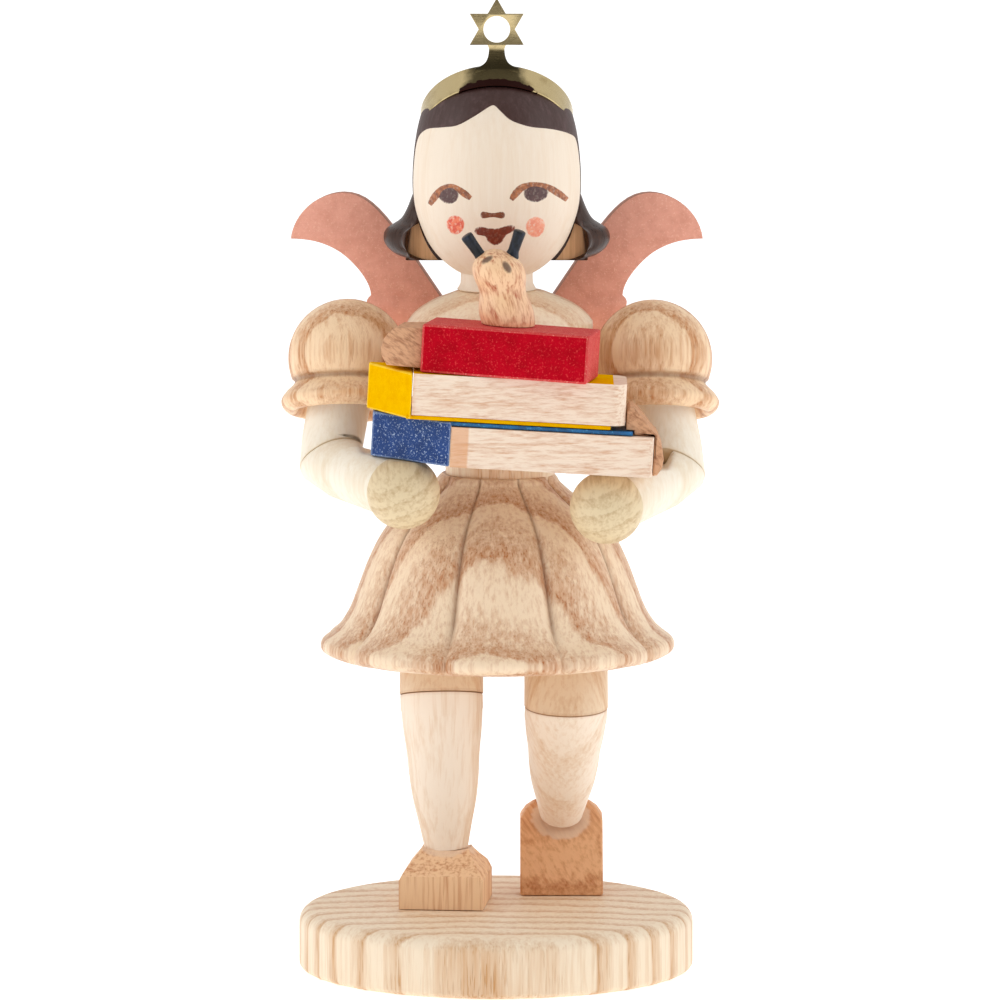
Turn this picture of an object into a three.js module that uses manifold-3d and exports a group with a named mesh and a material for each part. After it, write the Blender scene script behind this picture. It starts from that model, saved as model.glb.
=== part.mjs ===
// A turned and carved wooden angel on a round base, carrying three books with a bookworm on top.
// Millimetres, +Z up, the figure faces -Y. "_r" is the figure's own right (-X), "_l" its left (+X).
import * as THREE from "three";
import { mergeVertices } from "three/addons/utils/BufferGeometryUtils.js";
import Module from "manifold-3d";

const wasm = await Module();
wasm.setup();

// ---- driving dimensions ----
const GLUE = 0.05; // glue line between two pieces
const BODY_X = 0.05; // axis of skirt, neck and head
const BODY_Y = 3.0;
const CHEST_X = 0.28; // axis of the torso

// base
const BASE_R = 13.42;
const BASE_H = 4.1;
const BASE_ROUND = 1.0;
const BASE_FOOT_ROUND = 0.4;

// shoes
const SHOE_W = 5.75;
const SHOE_LEN = 6.4;
const SHOE_TOE_H = 2.3;
const SHOE_ANKLE_H = 3.85;
const SHOE_YAW = -5.5;
const SHOE_FRONT = new THREE.Vector3(-3.76, -2.0, BASE_H);
const SEAT_R = 1.9;
const SEAT_BOTTOM_R = 1.62;
const SEAT_DEPTH = 0.12;
const TIPTOE_X = 4.5;
const TIPTOE_TOE_Y = 3.87;
const PEG_R = 0.8;
const PEG_SUNK = 1.6;
const PEG_RISE_R = 1.5; // how far a peg goes up into its shoe
const PEG_RISE_L = 0.9;
const PEG_AT_R = new THREE.Vector3(-3.5, 1.2, BASE_H);
const PEG_AT_L = new THREE.Vector3(TIPTOE_X, 5.0, BASE_H);
// side and front outlines of the flat shoe, from its toe, standing on the base
const FLAT_SIDE = [[0, GLUE], [0, SHOE_TOE_H], [2.2, 3.55], [2.6, SHOE_ANKLE_H], [4.7, SHOE_ANKLE_H],
  [5.5, 3.1], [SHOE_LEN, 2.6], [SHOE_LEN, GLUE]];
const FLAT_FRONT_HALF = [[SHOE_W / 2, 0], [SHOE_W / 2, 2.0], [SHOE_W / 2 - 0.25, 2.5], [2.2, 3.05],
  [1.75, 3.6], [1.6, SHOE_ANKLE_H + 0.05]];
// the same for the shoe that stands on its toe, in the figure's own heights
const TIP_SIDE = [[TIPTOE_TOE_Y, BASE_H + GLUE], [TIPTOE_TOE_Y, 4.9], [6.1, 8.1], [8.95, 10.1], [9.7, 9.9],
  [10.9, 8.2], [6.3, BASE_H + GLUE]];
const TIP_FRONT_HALF = [[2.84, 4], [2.84, 8.9], [2.45, 9.5], [1.55, 10.2]];

// legs
const KNEE_R = new THREE.Vector3(-3.72, 1.6, 18.45);
const ANKLE_R = new THREE.Vector3(-3.4, 1.88, BASE_H + SHOE_ANKLE_H - SEAT_DEPTH + GLUE);
const KNEE_L = new THREE.Vector3(4.78, 1.5, 17.6);
const ANKLE_L = new THREE.Vector3(4.48, 7.1, 9.38);
const THIGH_LEAN = 27;
const THIGH_LEN = 7.0;
const LEG_R = 2.86;
const LEG_PROFILE = [[0, 1], [0.09, 0.975], [0.22, 0.94], [0.38, 0.87], [0.53, 0.83], [0.68, 0.76],
  [0.83, 0.645], [0.93, 0.57], [1, 0.52]];

// skirt
const FLUTES = 9;
const FLUTE_TURN = 2.3;
const FLUTE_STEPS = 6;
const FLUTE_POWER = 2.4;
const SKIRT_TOP = 33.5;
const SKIRT_BOTTOM = 21.05;
const SKIRT_OUTER = [[33.5, 3.9, 0.1], [33.35, 4.15, 0.15], [32.95, 4.3, 0.22], [32.3, 5.0, 0.3],
  [31.2, 6.35, 0.4], [30.1, 7.45, 0.45], [29.0, 8.2, 0.5], [27.5, 8.92, 0.54], [25.9, 9.52, 0.58],
  [24.4, 10.1, 0.6], [23.3, 10.78, 0.65],
  [22.7, 11.4, 0.7], [22.2, 12.0, 0.75], [21.75, 12.12, 0.75], [21.3, 11.95, 0.7], [21.05, 11.55, 0.6]];
const SKIRT_INNER = [[21.05, 10.9, 0.5], [22.3, 10.2, 0.35], [23.5, 9.2, 0.15], [24.1, 8.0, 0]];
const WAIST_R = 3.72;
const WAIST_SUNK = 1.4;
const WAIST_DOWEL_R = 1.5;
const WAIST_DOWEL_Z = [29.6, 35.2];

// torso, neck and head
const TORSO_PROFILE = [[33.7, 3.72], [34.6, 3.8], [36.2, 4.15], [38.2, 4.85], [40.2, 5.6], [41.8, 6.05], [43.2, 6.28],
  [43.9, 6.3], [44.25, 6.05], [44.8, 5.45], [45.35, 4.5], [45.75, 3.5], [46.0, 2.75]];
const TORSO_TOP = 46.0;
const WING_SWEEP = 10;
const WING_FLAT_Y = 8.0;
const NECK_R = 2.45;
const NECK_FOOT_R = 2.7;
const NECK_TOP = 48.6;
const NECK_PIN_R = 1.3;
const NECK_PIN_LEN = 2.2;
const NECK_BORE_LOW = 45;
const HEAD_PROFILE = [[47.0, 1.6], [47.15, 2.3], [47.6, 3.1], [48.4, 4.0], [49.3, 4.65], [50.4, 5.15],
  [51.6, 5.52], [52.8, 5.66], [54.2, 5.66], [55.8, 5.53], [57.2, 5.3], [58.4, 4.93], [59.4, 4.33], [60.15, 3.6],
  [60.75, 2.65], [61.1, 1.5]];
const HEAD_TOP = 61.2;

// hair flip
const FLIP_Y = 5.45;
const FLIP_DEPTH = 0.51; // front-to-back size over side-to-side size
const FLIP_CUT_Y = 3.35;
const FLIP_PROFILE = [[52.3, 5.75], [51.4, 6.1], [50.7, 6.5], [50.3, 7.05], [50.0, 7.5], [49.6, 7.7], [49.1, 7.68],
  [48.6, 7.35], [48.2, 6.8], [48.0, 6.2]];

// crown
const CROWN_R = 5.2;
const CROWN_T = 0.22;
const CROWN_W = 1.85;
const CROWN_TILT = 46;
const CROWN_CENTRE = new THREE.Vector3(BODY_X, 3.35, 57.2);
const CROWN_HALF_TURN = 84;
const STAR_R = 2.11;
const STAR_HOLE_R = 0.9;
const STAR_Z = 63.98;
const STEM_W = 1.05;
const STEM_FLARE = 0.95;
const STEM_BACK = 0.4; // how far the star stands behind the middle of the strip's front

// wings
const WING_T = 0.9;

// arms
const SHOULDER_R = new THREE.Vector3(-10.08, 2.5, 41.4);
const SHOULDER_L = new THREE.Vector3(10.65, 2.5, 41.35);
const ELBOW_R = new THREE.Vector3(-11.35, 0.4, 34.0);
const ELBOW_L = new THREE.Vector3(12.2, 0.4, 33.35);
const HAND_R = new THREE.Vector3(-6.21, -6.3, 33.27);
const HAND_L = new THREE.Vector3(7.42, -6.3, 32.26);
const HAND_BALL_R = 2.46;
const ARM_R = 2.1;
const WRIST_R = 1.95;
const PUFF_R = 4.05;
const CUFF_PROFILE = [[-1.4, 3.8], [-1.6, 3.58], [-1.85, 3.66], [-2.4, 4.2], [-2.9, 4.5], [-3.35, 4.42],
  [-3.7, 4.08], [-3.75, 3.75], [-3.1, 3.3], [-2.3, 2.75], [-1.9, 2.35]];
const CUFF_FLOOR = -1.6;
const SLEEVE_UP = new THREE.Vector3(0.0, 0.276, 0.961);
const SHOULDER_DOWEL_R = 1.0;
const SHOULDER_DOWEL_X = 3.8; // its inner end, from the torso's axis
const SHOULDER_DOWEL_Y = 2.75;
const SHOULDER_DOWEL_IN = 2.2; // its outer end, inwards from the sleeve's middle

// books
const STACK_ROLL = 3.2;
const STACK_ORIGIN = new THREE.Vector3(0, -9.0, 35.2);
const BOARD_T = 0.26;
const BOOK_D = 5.7;
const BLUE = { x0: -8.45, corner: -3.15, x1: 10.45, skew: 3.9, z0: 0, z1: 3.0, boardEnd: 9.0 };
const YELLOW = { x0: -8.9, corner: -5.9, x1: 8.45, skew: 5.1, z0: 3.05, z1: 6.15, boardEnd: 7.5 };
const YELLOW_CORNER_R = 0.9;
const RED = { x0: -5.45, x1: 5.85, z0: 6.2, z1: 9.46, d: 4.9, yaw: -10, front: 0.5 };
// outline of the red book's bare fore edge, from the red block's end, and its front and back
const FORE_EDGE = [[-GLUE, 6.4], [-2.4, 6.45], [-2.75, 7.0], [-2.85, 7.6], [-2.7, 8.2], [-2.35, 8.65], [-2.0, 9.0],
  [-GLUE, 9.15]];
const FORE_EDGE_Y = [0.6, 4.6];
// outline of the bare rounded block at the right-hand end of the stack, and its front and back
const END_REST = [[10.5, 0.05], [10.8, 0.12], [11.1, 0.6], [11.18, 1.2], [11.05, 1.9], [10.85, 2.4], [10.65, 2.8],
  [10.2, 3.25], [9.6, 4.0], [9.0, 4.55], [8.75, 4.6], [8.55, 4.3], [8.55, 3.05], [9.1, 3.05], [9.1, 2.75],
  [10.5, 2.75]];
const END_REST_Y = [0.7, 4.9];

// bookworm
const WORM_FOOT = new THREE.Vector3(0.58, -6.3, 44.6);
const WORM_PROFILE = [[0, 1.74], [0.35, 1.82], [1.0, 1.84], [1.7, 1.7], [2.15, 1.58], [2.6, 1.6], [3.3, 1.76],
  [4.0, 1.7], [4.6, 1.32], [4.95, 0.8]];
const WORM_H = 5.15;
const WORM_LEAN = -0.95;
const WORM_PIVOT = 0.3; // share of its height about which it leans
const FEELER_R = 0.42;
const FEELERS = [
  ["worm_feeler_r", new THREE.Vector3(-0.75, -6.3, 48.9), new THREE.Vector3(-2.0, -6.6, 50.7)],
  ["worm_feeler_l", new THREE.Vector3(1.0, -6.3, 49.1), new THREE.Vector3(1.62, -6.6, 51.0)],
];

// ---- helpers ----
const Z = new THREE.Vector3(0, 0, 1);
const rad = THREE.MathUtils.degToRad;
const group = new THREE.Group();

const wood = (hex, roughness = 0.6) => ({ color: hex, roughness, metalness: 0 });
const MAPLE = wood(0xf0e4d0, 0.5);
const LIME = wood(0xeed7b9, 0.5);
const ASH = wood(0xe1b487, 0.55);
const BEECH = wood(0xdc965f, 0.6);
const PAGES = wood(0xebcdaf, 0.65);
const END_GRAIN = wood(0xcd966e, 0.7);
const HAIR = wood(0x3c2826, 0.35);
const COPPER = { color: 0xc89178, roughness: 0.45, metalness: 0.35 };
const BRASS = { color: 0xebd7a0, roughness: 0.28, metalness: 1 };

// A closed solid from a geometry, turned to face outwards.
function solid(geometry) {
  const bare = geometry.clone();
  bare.deleteAttribute("normal");
  bare.deleteAttribute("uv");
  const merged = mergeVertices(bare, 1e-4);
  const triVerts = new Uint32Array(merged.index.array);
  const build = () => new wasm.Manifold(
    new wasm.Mesh({ numProp: 3, vertProperties: new Float32Array(merged.attributes.position.array), triVerts }),
  );
  const made = build();
  if (made.volume() > 0) return made;
  for (let i = 0; i < triVerts.length; i += 3) {
    [triVerts[i + 1], triVerts[i + 2]] = [triVerts[i + 2], triVerts[i + 1]];
  }
  return build();
}

// Adds one named mesh made of a solid.
function piece(name, body, look) {
  const mesh = body.getMesh();
  const geometry = new THREE.BufferGeometry();
  geometry.setAttribute("position", new THREE.BufferAttribute(new Float32Array(mesh.vertProperties), 3));
  geometry.setIndex(new THREE.BufferAttribute(new Uint32Array(mesh.triVerts), 1));
  geometry.computeVertexNormals();
  const material = new THREE.MeshStandardMaterial(look);
  const made = new THREE.Mesh(geometry, material);
  made.name = name;
  group.add(made);
  return made;
}

// A turned solid about +Z from [height, radius] pairs; it closes onto the axis at both ends.
function turned(profile, segments = 28) {
  const points = profile.map(([h, r]) => new THREE.Vector2(r, h));
  points.unshift(new THREE.Vector2(0, profile[0][0]));
  points.push(new THREE.Vector2(0, profile[profile.length - 1][0]));
  return new THREE.LatheGeometry(points, segments).rotateX(Math.PI / 2);
}

// Lays a geometry made about +Z with its origin at "from", pointing along "direction".
function aimed(geometry, from, direction) {
  const turn = new THREE.Quaternion().setFromUnitVectors(Z, direction.clone().normalize());
  return geometry.applyQuaternion(turn).translate(from.x, from.y, from.z);
}

function ball(centre, radius, across = 18, down = 10) {
  return solid(new THREE.SphereGeometry(radius, across, down).translate(centre.x, centre.y, centre.z));
}

function rod(from, to, radius, segments = 16) {
  const along = to.clone().sub(from);
  return solid(aimed(turned([[0, radius], [along.length(), radius]], segments), from, along));
}

// A block that fills the side of a plane that its normal points to.
function halfSpace(point, normal, size = 60) {
  const block = new THREE.BoxGeometry(size, size, size).translate(0, 0, size / 2);
  return solid(aimed(block, point, normal));
}

// A prism: an XY outline raised from z0 to z1.
function prism(outline, z0, z1) {
  const shape = new THREE.Shape(outline.map(([x, y]) => new THREE.Vector2(x, y)));
  const block = new THREE.ExtrudeGeometry(shape, { depth: z1 - z0, bevelEnabled: false, steps: 1 });
  return block.translate(0, 0, z0);
}

// A prism from an XZ outline, with depth from y0 to y1.
function plate(outline, y0, y1) {
  return prism(outline, -y1, -y0).rotateX(Math.PI / 2);
}

const mirrored = (half) => [...half, ...half.slice().reverse().map(([x, z]) => [-x, z])];

// ---- base ----
const baseProfile = [
  [0, BASE_R - BASE_FOOT_ROUND],
  [BASE_FOOT_ROUND, BASE_R],
];
for (let i = 0; i <= 4; i++) {
  const a = (i / 4) * (Math.PI / 2);
  baseProfile.push([
    BASE_H - BASE_ROUND + BASE_ROUND * Math.sin(a),
    BASE_R - BASE_ROUND + BASE_ROUND * Math.cos(a),
  ]);
}
let base = solid(turned(baseProfile, 44));
for (const at of [PEG_AT_R, PEG_AT_L]) {
  const low = at.clone().addScaledVector(Z, -PEG_SUNK);
  const high = at.clone().addScaledVector(Z, 1);
  base = base.subtract(rod(low, high, PEG_R));
}
piece("base_disc", base, wood(0xe8cfae, 0.6));

// ---- shoes ----
// The flat shoe: a side outline crossed with a front outline.
const sideways = (outline, width) => plate(outline, -width / 2, width / 2).rotateZ(Math.PI / 2);
const placeFlat = (g) => g.rotateZ(rad(SHOE_YAW)).translate(SHOE_FRONT.x, SHOE_FRONT.y, SHOE_FRONT.z);
const seat = (at, up) => solid(
  aimed(turned([[0, SEAT_BOTTOM_R], [SEAT_DEPTH, SEAT_R], [SEAT_DEPTH + 1.5, SEAT_R + 0.6]], 24), at, up),
);

let flat = solid(placeFlat(sideways(FLAT_SIDE, SHOE_W)));
flat = flat.intersect(solid(placeFlat(plate(mirrored(FLAT_FRONT_HALF), -1, SHOE_LEN + 1))));
const seatR = new THREE.Vector3(ANKLE_R.x, ANKLE_R.y, BASE_H + SHOE_ANKLE_H - SEAT_DEPTH);
flat = flat.subtract(seat(seatR, Z));

// The shoe on its toe: the same block tipped forward, its toe cut flat to stand.
let tip = solid(sideways(TIP_SIDE, SHOE_W).translate(TIPTOE_X, 0, 0));
tip = tip.intersect(solid(plate(mirrored(TIP_FRONT_HALF), 3, 12).translate(TIPTOE_X, 0, 0)));
const shinUp = KNEE_L.clone().sub(ANKLE_L).normalize();
const seatL = ANKLE_L.clone().addScaledVector(shinUp, -GLUE);
tip = tip.subtract(seat(seatL, shinUp));

const pegs = [["shoe_peg_r", PEG_AT_R, PEG_RISE_R], ["shoe_peg_l", PEG_AT_L, PEG_RISE_L]];
const pegHoles = pegs.map(([, at, rise]) => {
  const low = at.clone().addScaledVector(Z, -1);
  return rod(low, at.clone().addScaledVector(Z, rise + GLUE), PEG_R);
});
piece("shoe_r", flat.subtract(pegHoles[0]), BEECH);
piece("shoe_l", tip.subtract(pegHoles[1]), BEECH);
for (const [name, at, rise] of pegs) {
  const low = at.clone().addScaledVector(Z, -PEG_SUNK + GLUE);
  piece(name, rod(low, at.clone().addScaledVector(Z, rise), PEG_R - GLUE), LIME);
}

// ---- legs ----
const thighUp = new THREE.Vector3(0, Math.sin(rad(THIGH_LEAN)), Math.cos(rad(THIGH_LEAN)));
const thighHoles = [];
for (const [side, knee, ankle] of [["r", KNEE_R, ANKLE_R], ["l", KNEE_L, ANKLE_L]]) {
  const down = ankle.clone().sub(knee);
  const length = down.length();
  const mitre = thighUp.clone().sub(down.clone().normalize()).normalize();
  const shin = turned(LEG_PROFILE.map(([t, r]) => [t * length, r * LEG_R]), 20);
  const lower = solid(aimed(shin, knee, down)).add(ball(knee, LEG_R, 20, 10));
  const aboveKnee = halfSpace(knee.clone().addScaledVector(mitre, -GLUE / 2), mitre);
  piece("lower_leg_" + side, lower.subtract(aboveKnee), LIME);

  const top = knee.clone().addScaledVector(thighUp, THIGH_LEN);
  const upper = rod(knee, top, LEG_R, 20).add(ball(knee, LEG_R, 20, 10));
  const belowKnee = halfSpace(knee.clone().addScaledVector(mitre, GLUE / 2), mitre.clone().negate());
  piece("thigh_" + side, upper.subtract(belowKnee), LIME);
  thighHoles.push(rod(knee, top.clone().addScaledVector(thighUp, GLUE), LEG_R + GLUE, 20));
}

// ---- skirt ----
// Rings of one profile; each ring's radius dips at the creases between the panels.
function fluted(rings, steps) {
  const count = FLUTES * steps;
  const position = [];
  const index = [];
  for (const [z, radius, dip] of rings) {
    for (let i = 0; i < count; i++) {
      const a = (i / count) * 2 * Math.PI;
      const u = Math.abs(((i % steps) / steps) * 2 - 1);
      const r = radius - dip * Math.pow(u, FLUTE_POWER);
      position.push(r * Math.sin(a), -r * Math.cos(a), z);
    }
  }
  for (let j = 0; j < rings.length - 1; j++) {
    for (let i = 0; i < count; i++) {
      const a = j * count + i;
      const b = j * count + ((i + 1) % count);
      index.push(a, b, a + count, b, b + count, a + count);
    }
  }
  for (const [row, flip] of [[0, false], [rings.length - 1, true]]) {
    const middle = position.length / 3;
    position.push(0, 0, rings[row][0]);
    for (let i = 0; i < count; i++) {
      const a = row * count + i;
      const b = row * count + ((i + 1) % count);
      index.push(...(flip ? [a, b, middle] : [b, a, middle]));
    }
  }
  const geometry = new THREE.BufferGeometry();
  geometry.setAttribute("position", new THREE.Float32BufferAttribute(position, 3));
  geometry.setIndex(index);
  geometry.rotateZ(rad(FLUTE_TURN - 180 / FLUTES));
  return geometry.translate(BODY_X, BODY_Y, 0);
}
let skirt = solid(fluted([...SKIRT_OUTER, ...SKIRT_INNER], FLUTE_STEPS));
const waistSeat = new THREE.Vector3(CHEST_X, BODY_Y, SKIRT_TOP - WAIST_SUNK);
const waistTop = new THREE.Vector3(CHEST_X, BODY_Y, SKIRT_TOP + 1);
skirt = skirt.subtract(rod(waistSeat, waistTop, WAIST_R + GLUE, 32));
const dowelLow = new THREE.Vector3(CHEST_X, BODY_Y, WAIST_DOWEL_Z[0]);
const dowelHigh = new THREE.Vector3(CHEST_X, BODY_Y, WAIST_DOWEL_Z[1]);
const dowelHole = rod(dowelLow.clone().addScaledVector(Z, -GLUE), dowelHigh.clone().addScaledVector(Z, GLUE),
  WAIST_DOWEL_R + GLUE, 16);
skirt = skirt.subtract(dowelHole);
for (const hole of thighHoles) skirt = skirt.subtract(hole);
piece("skirt", skirt, ASH);
piece("waist_dowel", rod(dowelLow, dowelHigh, WAIST_DOWEL_R, 16), LIME);

// ---- torso ----
const torsoProfile = [[SKIRT_TOP - WAIST_SUNK + GLUE, WAIST_R], ...TORSO_PROFILE];
let torso = solid(turned(torsoProfile, 28).translate(CHEST_X, BODY_Y, 0));
torso = torso.subtract(dowelHole);
for (const side of [-1, 1]) {
  const out = new THREE.Vector3(side * Math.sin(rad(-WING_SWEEP)), Math.cos(rad(WING_SWEEP)), 0);
  torso = torso.subtract(halfSpace(new THREE.Vector3(BODY_X, WING_FLAT_Y, 40), out));
}
const neckPinLow = new THREE.Vector3(BODY_X, BODY_Y, TORSO_TOP - NECK_PIN_LEN);
const neckMid = new THREE.Vector3(BODY_X, BODY_Y, TORSO_TOP + 1);
torso = torso.subtract(rod(neckPinLow.clone().addScaledVector(Z, -GLUE), neckMid, NECK_PIN_R + GLUE, 16));

// ---- shoulder dowels ----
const shoulderDowels = [];
for (const [side, at, sign] of [["r", SHOULDER_R, -1], ["l", SHOULDER_L, 1]]) {
  const inner = new THREE.Vector3(CHEST_X + sign * SHOULDER_DOWEL_X, SHOULDER_DOWEL_Y, at.z);
  const outer = at.clone().addScaledVector(new THREE.Vector3(sign, 0, 0), -SHOULDER_DOWEL_IN);
  const along = outer.clone().sub(inner).normalize();
  const hole = rod(inner.clone().addScaledVector(along, -GLUE), outer.clone().addScaledVector(along, GLUE),
    SHOULDER_DOWEL_R + GLUE, 14);
  torso = torso.subtract(hole);
  shoulderDowels.push(hole);
  piece("shoulder_dowel_" + side, rod(inner, outer, SHOULDER_DOWEL_R, 14), LIME);
}
piece("torso", torso, ASH);

// ---- neck and head ----
const neckShape = turned(
  [[TORSO_TOP + GLUE, NECK_FOOT_R], [TORSO_TOP + 0.25, NECK_FOOT_R - 0.12], [TORSO_TOP + 0.8, NECK_R],
    [NECK_TOP, NECK_R]],
  28,
).translate(BODY_X, BODY_Y, 0);
const neck = solid(neckShape).add(rod(neckPinLow, neckMid, NECK_PIN_R, 16));
piece("neck", neck, MAPLE);

const headShape = turned([...HEAD_PROFILE, [HEAD_TOP, 0.01]], 28).translate(BODY_X, BODY_Y, 0);
const neckHole = rod(new THREE.Vector3(BODY_X, BODY_Y, NECK_BORE_LOW),
  new THREE.Vector3(BODY_X, BODY_Y, NECK_TOP + GLUE), NECK_R + GLUE, 28);
const head = solid(headShape).subtract(neckHole);
piece("head", head, MAPLE);

// ---- hair flip: a flared collar round the back of the head, cut flat in front ----
const flipShape = turned(FLIP_PROFILE.slice().reverse(), 36)
  .scale(1, FLIP_DEPTH, 1)
  .translate(BODY_X, FLIP_Y, 0);
const headClear = solid(
  turned(HEAD_PROFILE.map(([h, r]) => [h, r + GLUE]), 28).translate(BODY_X, BODY_Y, 0),
);
const flipFront = new THREE.Vector3(0, FLIP_CUT_Y, 50);
const flip = solid(flipShape)
  .subtract(halfSpace(flipFront, new THREE.Vector3(0, -1, 0)))
  .subtract(headClear)
  .subtract(rod(neckPinLow, new THREE.Vector3(BODY_X, BODY_Y, NECK_TOP + 0.4), NECK_R + 0.4, 28));
piece("hair_flip", flip, HAIR);

// ---- crown: a strip bent over the hair, with a star on a short stem ----
const crownAxis = new THREE.Vector3(0, Math.sin(rad(CROWN_TILT)), Math.cos(rad(CROWN_TILT)));
const inner = CROWN_R - CROWN_T;
const halfArc = rad(CROWN_HALF_TURN);
const stripShape = new THREE.Shape();
stripShape.absarc(0, 0, CROWN_R, -Math.PI / 2 - halfArc, -Math.PI / 2 + halfArc, false);
stripShape.absarc(0, 0, inner, -Math.PI / 2 + halfArc, -Math.PI / 2 - halfArc, true);
const strip = new THREE.ExtrudeGeometry(stripShape, { depth: CROWN_W, bevelEnabled: false, curveSegments: 24 })
  .translate(0, 0, -CROWN_W / 2)
  .rotateX(-rad(CROWN_TILT))
  .translate(CROWN_CENTRE.x, CROWN_CENTRE.y, CROWN_CENTRE.z);
const frontY = CROWN_CENTRE.y - (CROWN_R - CROWN_T / 2) * Math.cos(rad(CROWN_TILT));
const frontZ = CROWN_CENTRE.z + (CROWN_R - CROWN_T / 2) * Math.sin(rad(CROWN_TILT));
const starY = frontY + STEM_BACK;
const star = new THREE.Shape();
for (let i = 0; i < 12; i++) {
  const a = Math.PI / 2 + (i * Math.PI) / 6;
  const r = i % 2 ? STAR_R / Math.sqrt(3) : STAR_R;
  star[i ? "lineTo" : "moveTo"](r * Math.cos(a), r * Math.sin(a));
}
star.closePath();
const starHole = new THREE.Path();
starHole.absarc(0, 0, STAR_HOLE_R, 0, 2 * Math.PI, true);
star.holes.push(starHole);
const starPlate = new THREE.ExtrudeGeometry(star, { depth: CROWN_T, bevelEnabled: false, curveSegments: 14 })
  .rotateX(Math.PI / 2)
  .translate(CROWN_CENTRE.x, starY + CROWN_T / 2, STAR_Z);
const stemFoot = frontZ + 0.3;
const stemTop = STAR_Z - STAR_R * 0.62;
const stemHalf = [[STEM_W / 2 + STEM_FLARE, stemFoot - 0.3], [STEM_W / 2 + STEM_FLARE, stemFoot + 0.2],
  [STEM_W / 2 + STEM_FLARE * 0.45, stemFoot + 0.45], [STEM_W / 2 + STEM_FLARE * 0.12, stemFoot + 0.8],
  [STEM_W / 2, stemFoot + 1.1], [STEM_W / 2, stemTop]];
const stem = plate(mirrored(stemHalf), starY - CROWN_T / 2, starY + CROWN_T / 2)
  .translate(CROWN_CENTRE.x, 0, 0);
const crown = solid(strip).add(solid(starPlate)).add(solid(stem)).subtract(headClear);
piece("crown", crown, BRASS);

// ---- wings ----
// One wing outline as curves in its own plane, for the figure's left; x runs outwards from the spine.
function wingShape() {
  const s = new THREE.Shape();
  s.moveTo(0.15, 38.2);
  s.lineTo(2.9, 39.8);
  s.bezierCurveTo(5.6, 41.2, 7.6, 42.4, 8.75, 43.7);
  s.bezierCurveTo(9.25, 44.4, 9.15, 44.65, 8.8, 44.95);
  s.bezierCurveTo(8.8, 46.0, 10.25, 47.5, 11.15, 48.0);
  s.bezierCurveTo(12.15, 48.55, 13.05, 48.75, 14.4, 48.75);
  s.bezierCurveTo(14.2, 50.5, 12.55, 51.95, 10.8, 52.0);
  s.bezierCurveTo(8.6, 52.05, 7.4, 49.9, 3.9, 44.9);
  s.lineTo(0.15, 42.6);
  s.closePath();
  return s;
}
for (const [side, sign] of [["r", -1], ["l", 1]]) {
  const wing = new THREE.ExtrudeGeometry(wingShape(), { depth: WING_T, bevelEnabled: false, curveSegments: 8 })
    .rotateX(Math.PI / 2)
    .translate(0, WING_T + GLUE, 0)
    .scale(sign, 1, 1)
    .rotateZ(sign * rad(WING_SWEEP))
    .translate(BODY_X, WING_FLAT_Y, 0);
  piece("wing_" + side, solid(wing), COPPER);
}

// ---- sleeves, arms and hands ----
const puff = [];
for (let i = 1; i <= 9; i++) {
  const h = PUFF_R * Math.cos((i / 9) * 1.9);
  puff.push([h, Math.sqrt(PUFF_R * PUFF_R - h * h)]);
}
const sleeveProfile = [[PUFF_R, 0.01], ...puff.filter(([h]) => h > CUFF_PROFILE[0][0]), ...CUFF_PROFILE,
  [CUFF_FLOOR, 2.2]];
const sleeveDowel = { r: shoulderDowels[0], l: shoulderDowels[1] };
const stackUp = new THREE.Vector3(Math.sin(rad(STACK_ROLL)), 0, Math.cos(rad(STACK_ROLL)));
const underBooks = halfSpace(STACK_ORIGIN.clone().addScaledVector(stackUp, -GLUE), stackUp);
for (const [side, shoulder, elbow, hand] of [
  ["r", SHOULDER_R, ELBOW_R, HAND_R],
  ["l", SHOULDER_L, ELBOW_L, HAND_L],
]) {
  const up = shoulder.clone().sub(elbow).normalize();
  const armTop = shoulder.clone().addScaledVector(up, 0.2);
  const armHole = rod(shoulder.clone().addScaledVector(up, -5), armTop.clone().addScaledVector(up, GLUE),
    ARM_R + GLUE, 24);
  const sleeve = solid(aimed(turned(sleeveProfile, 24), shoulder, SLEEVE_UP));
  piece("sleeve_" + side, sleeve.subtract(armHole).subtract(sleeveDowel[side]), ASH);

  const fore = hand.clone().sub(elbow).normalize();
  const mitre = up.clone().sub(fore).normalize();
  const elbowBall = ball(elbow, ARM_R);
  const upper = rod(elbow, armTop, ARM_R, 24).add(elbowBall);
  const belowElbow = halfSpace(elbow.clone().addScaledVector(mitre, GLUE / 2), mitre.clone().negate());
  piece("upper_arm_" + side, upper.subtract(belowElbow), MAPLE);

  const reach = hand.distanceTo(elbow);
  const handClear = ball(hand, HAND_BALL_R + GLUE);
  const forearmBody = solid(aimed(turned([[0, ARM_R], [reach, WRIST_R]], 24), elbow, fore)).add(elbowBall);
  const forearm = forearmBody
    .subtract(halfSpace(elbow.clone().addScaledVector(mitre, -GLUE / 2), mitre))
    .subtract(handClear)
    .subtract(halfSpace(hand, fore))
    .subtract(underBooks);
  piece("forearm_" + side, forearm, MAPLE);
  piece("hand_" + side, ball(hand, HAND_BALL_R).subtract(underBooks), MAPLE);
}

// ---- books ----
const onStack = (g) => solid(
  g.rotateY(rad(STACK_ROLL)).translate(STACK_ORIGIN.x, STACK_ORIGIN.y, STACK_ORIGIN.z),
);
const redYaw = (g) => g.translate(-RED.x0, 0, 0).rotateZ(rad(RED.yaw)).translate(RED.x0, RED.front, 0);
const rect = (x0, x1, y0, y1) => [[x0, y0], [x1, y0], [x1, y1], [x0, y1]];
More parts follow.
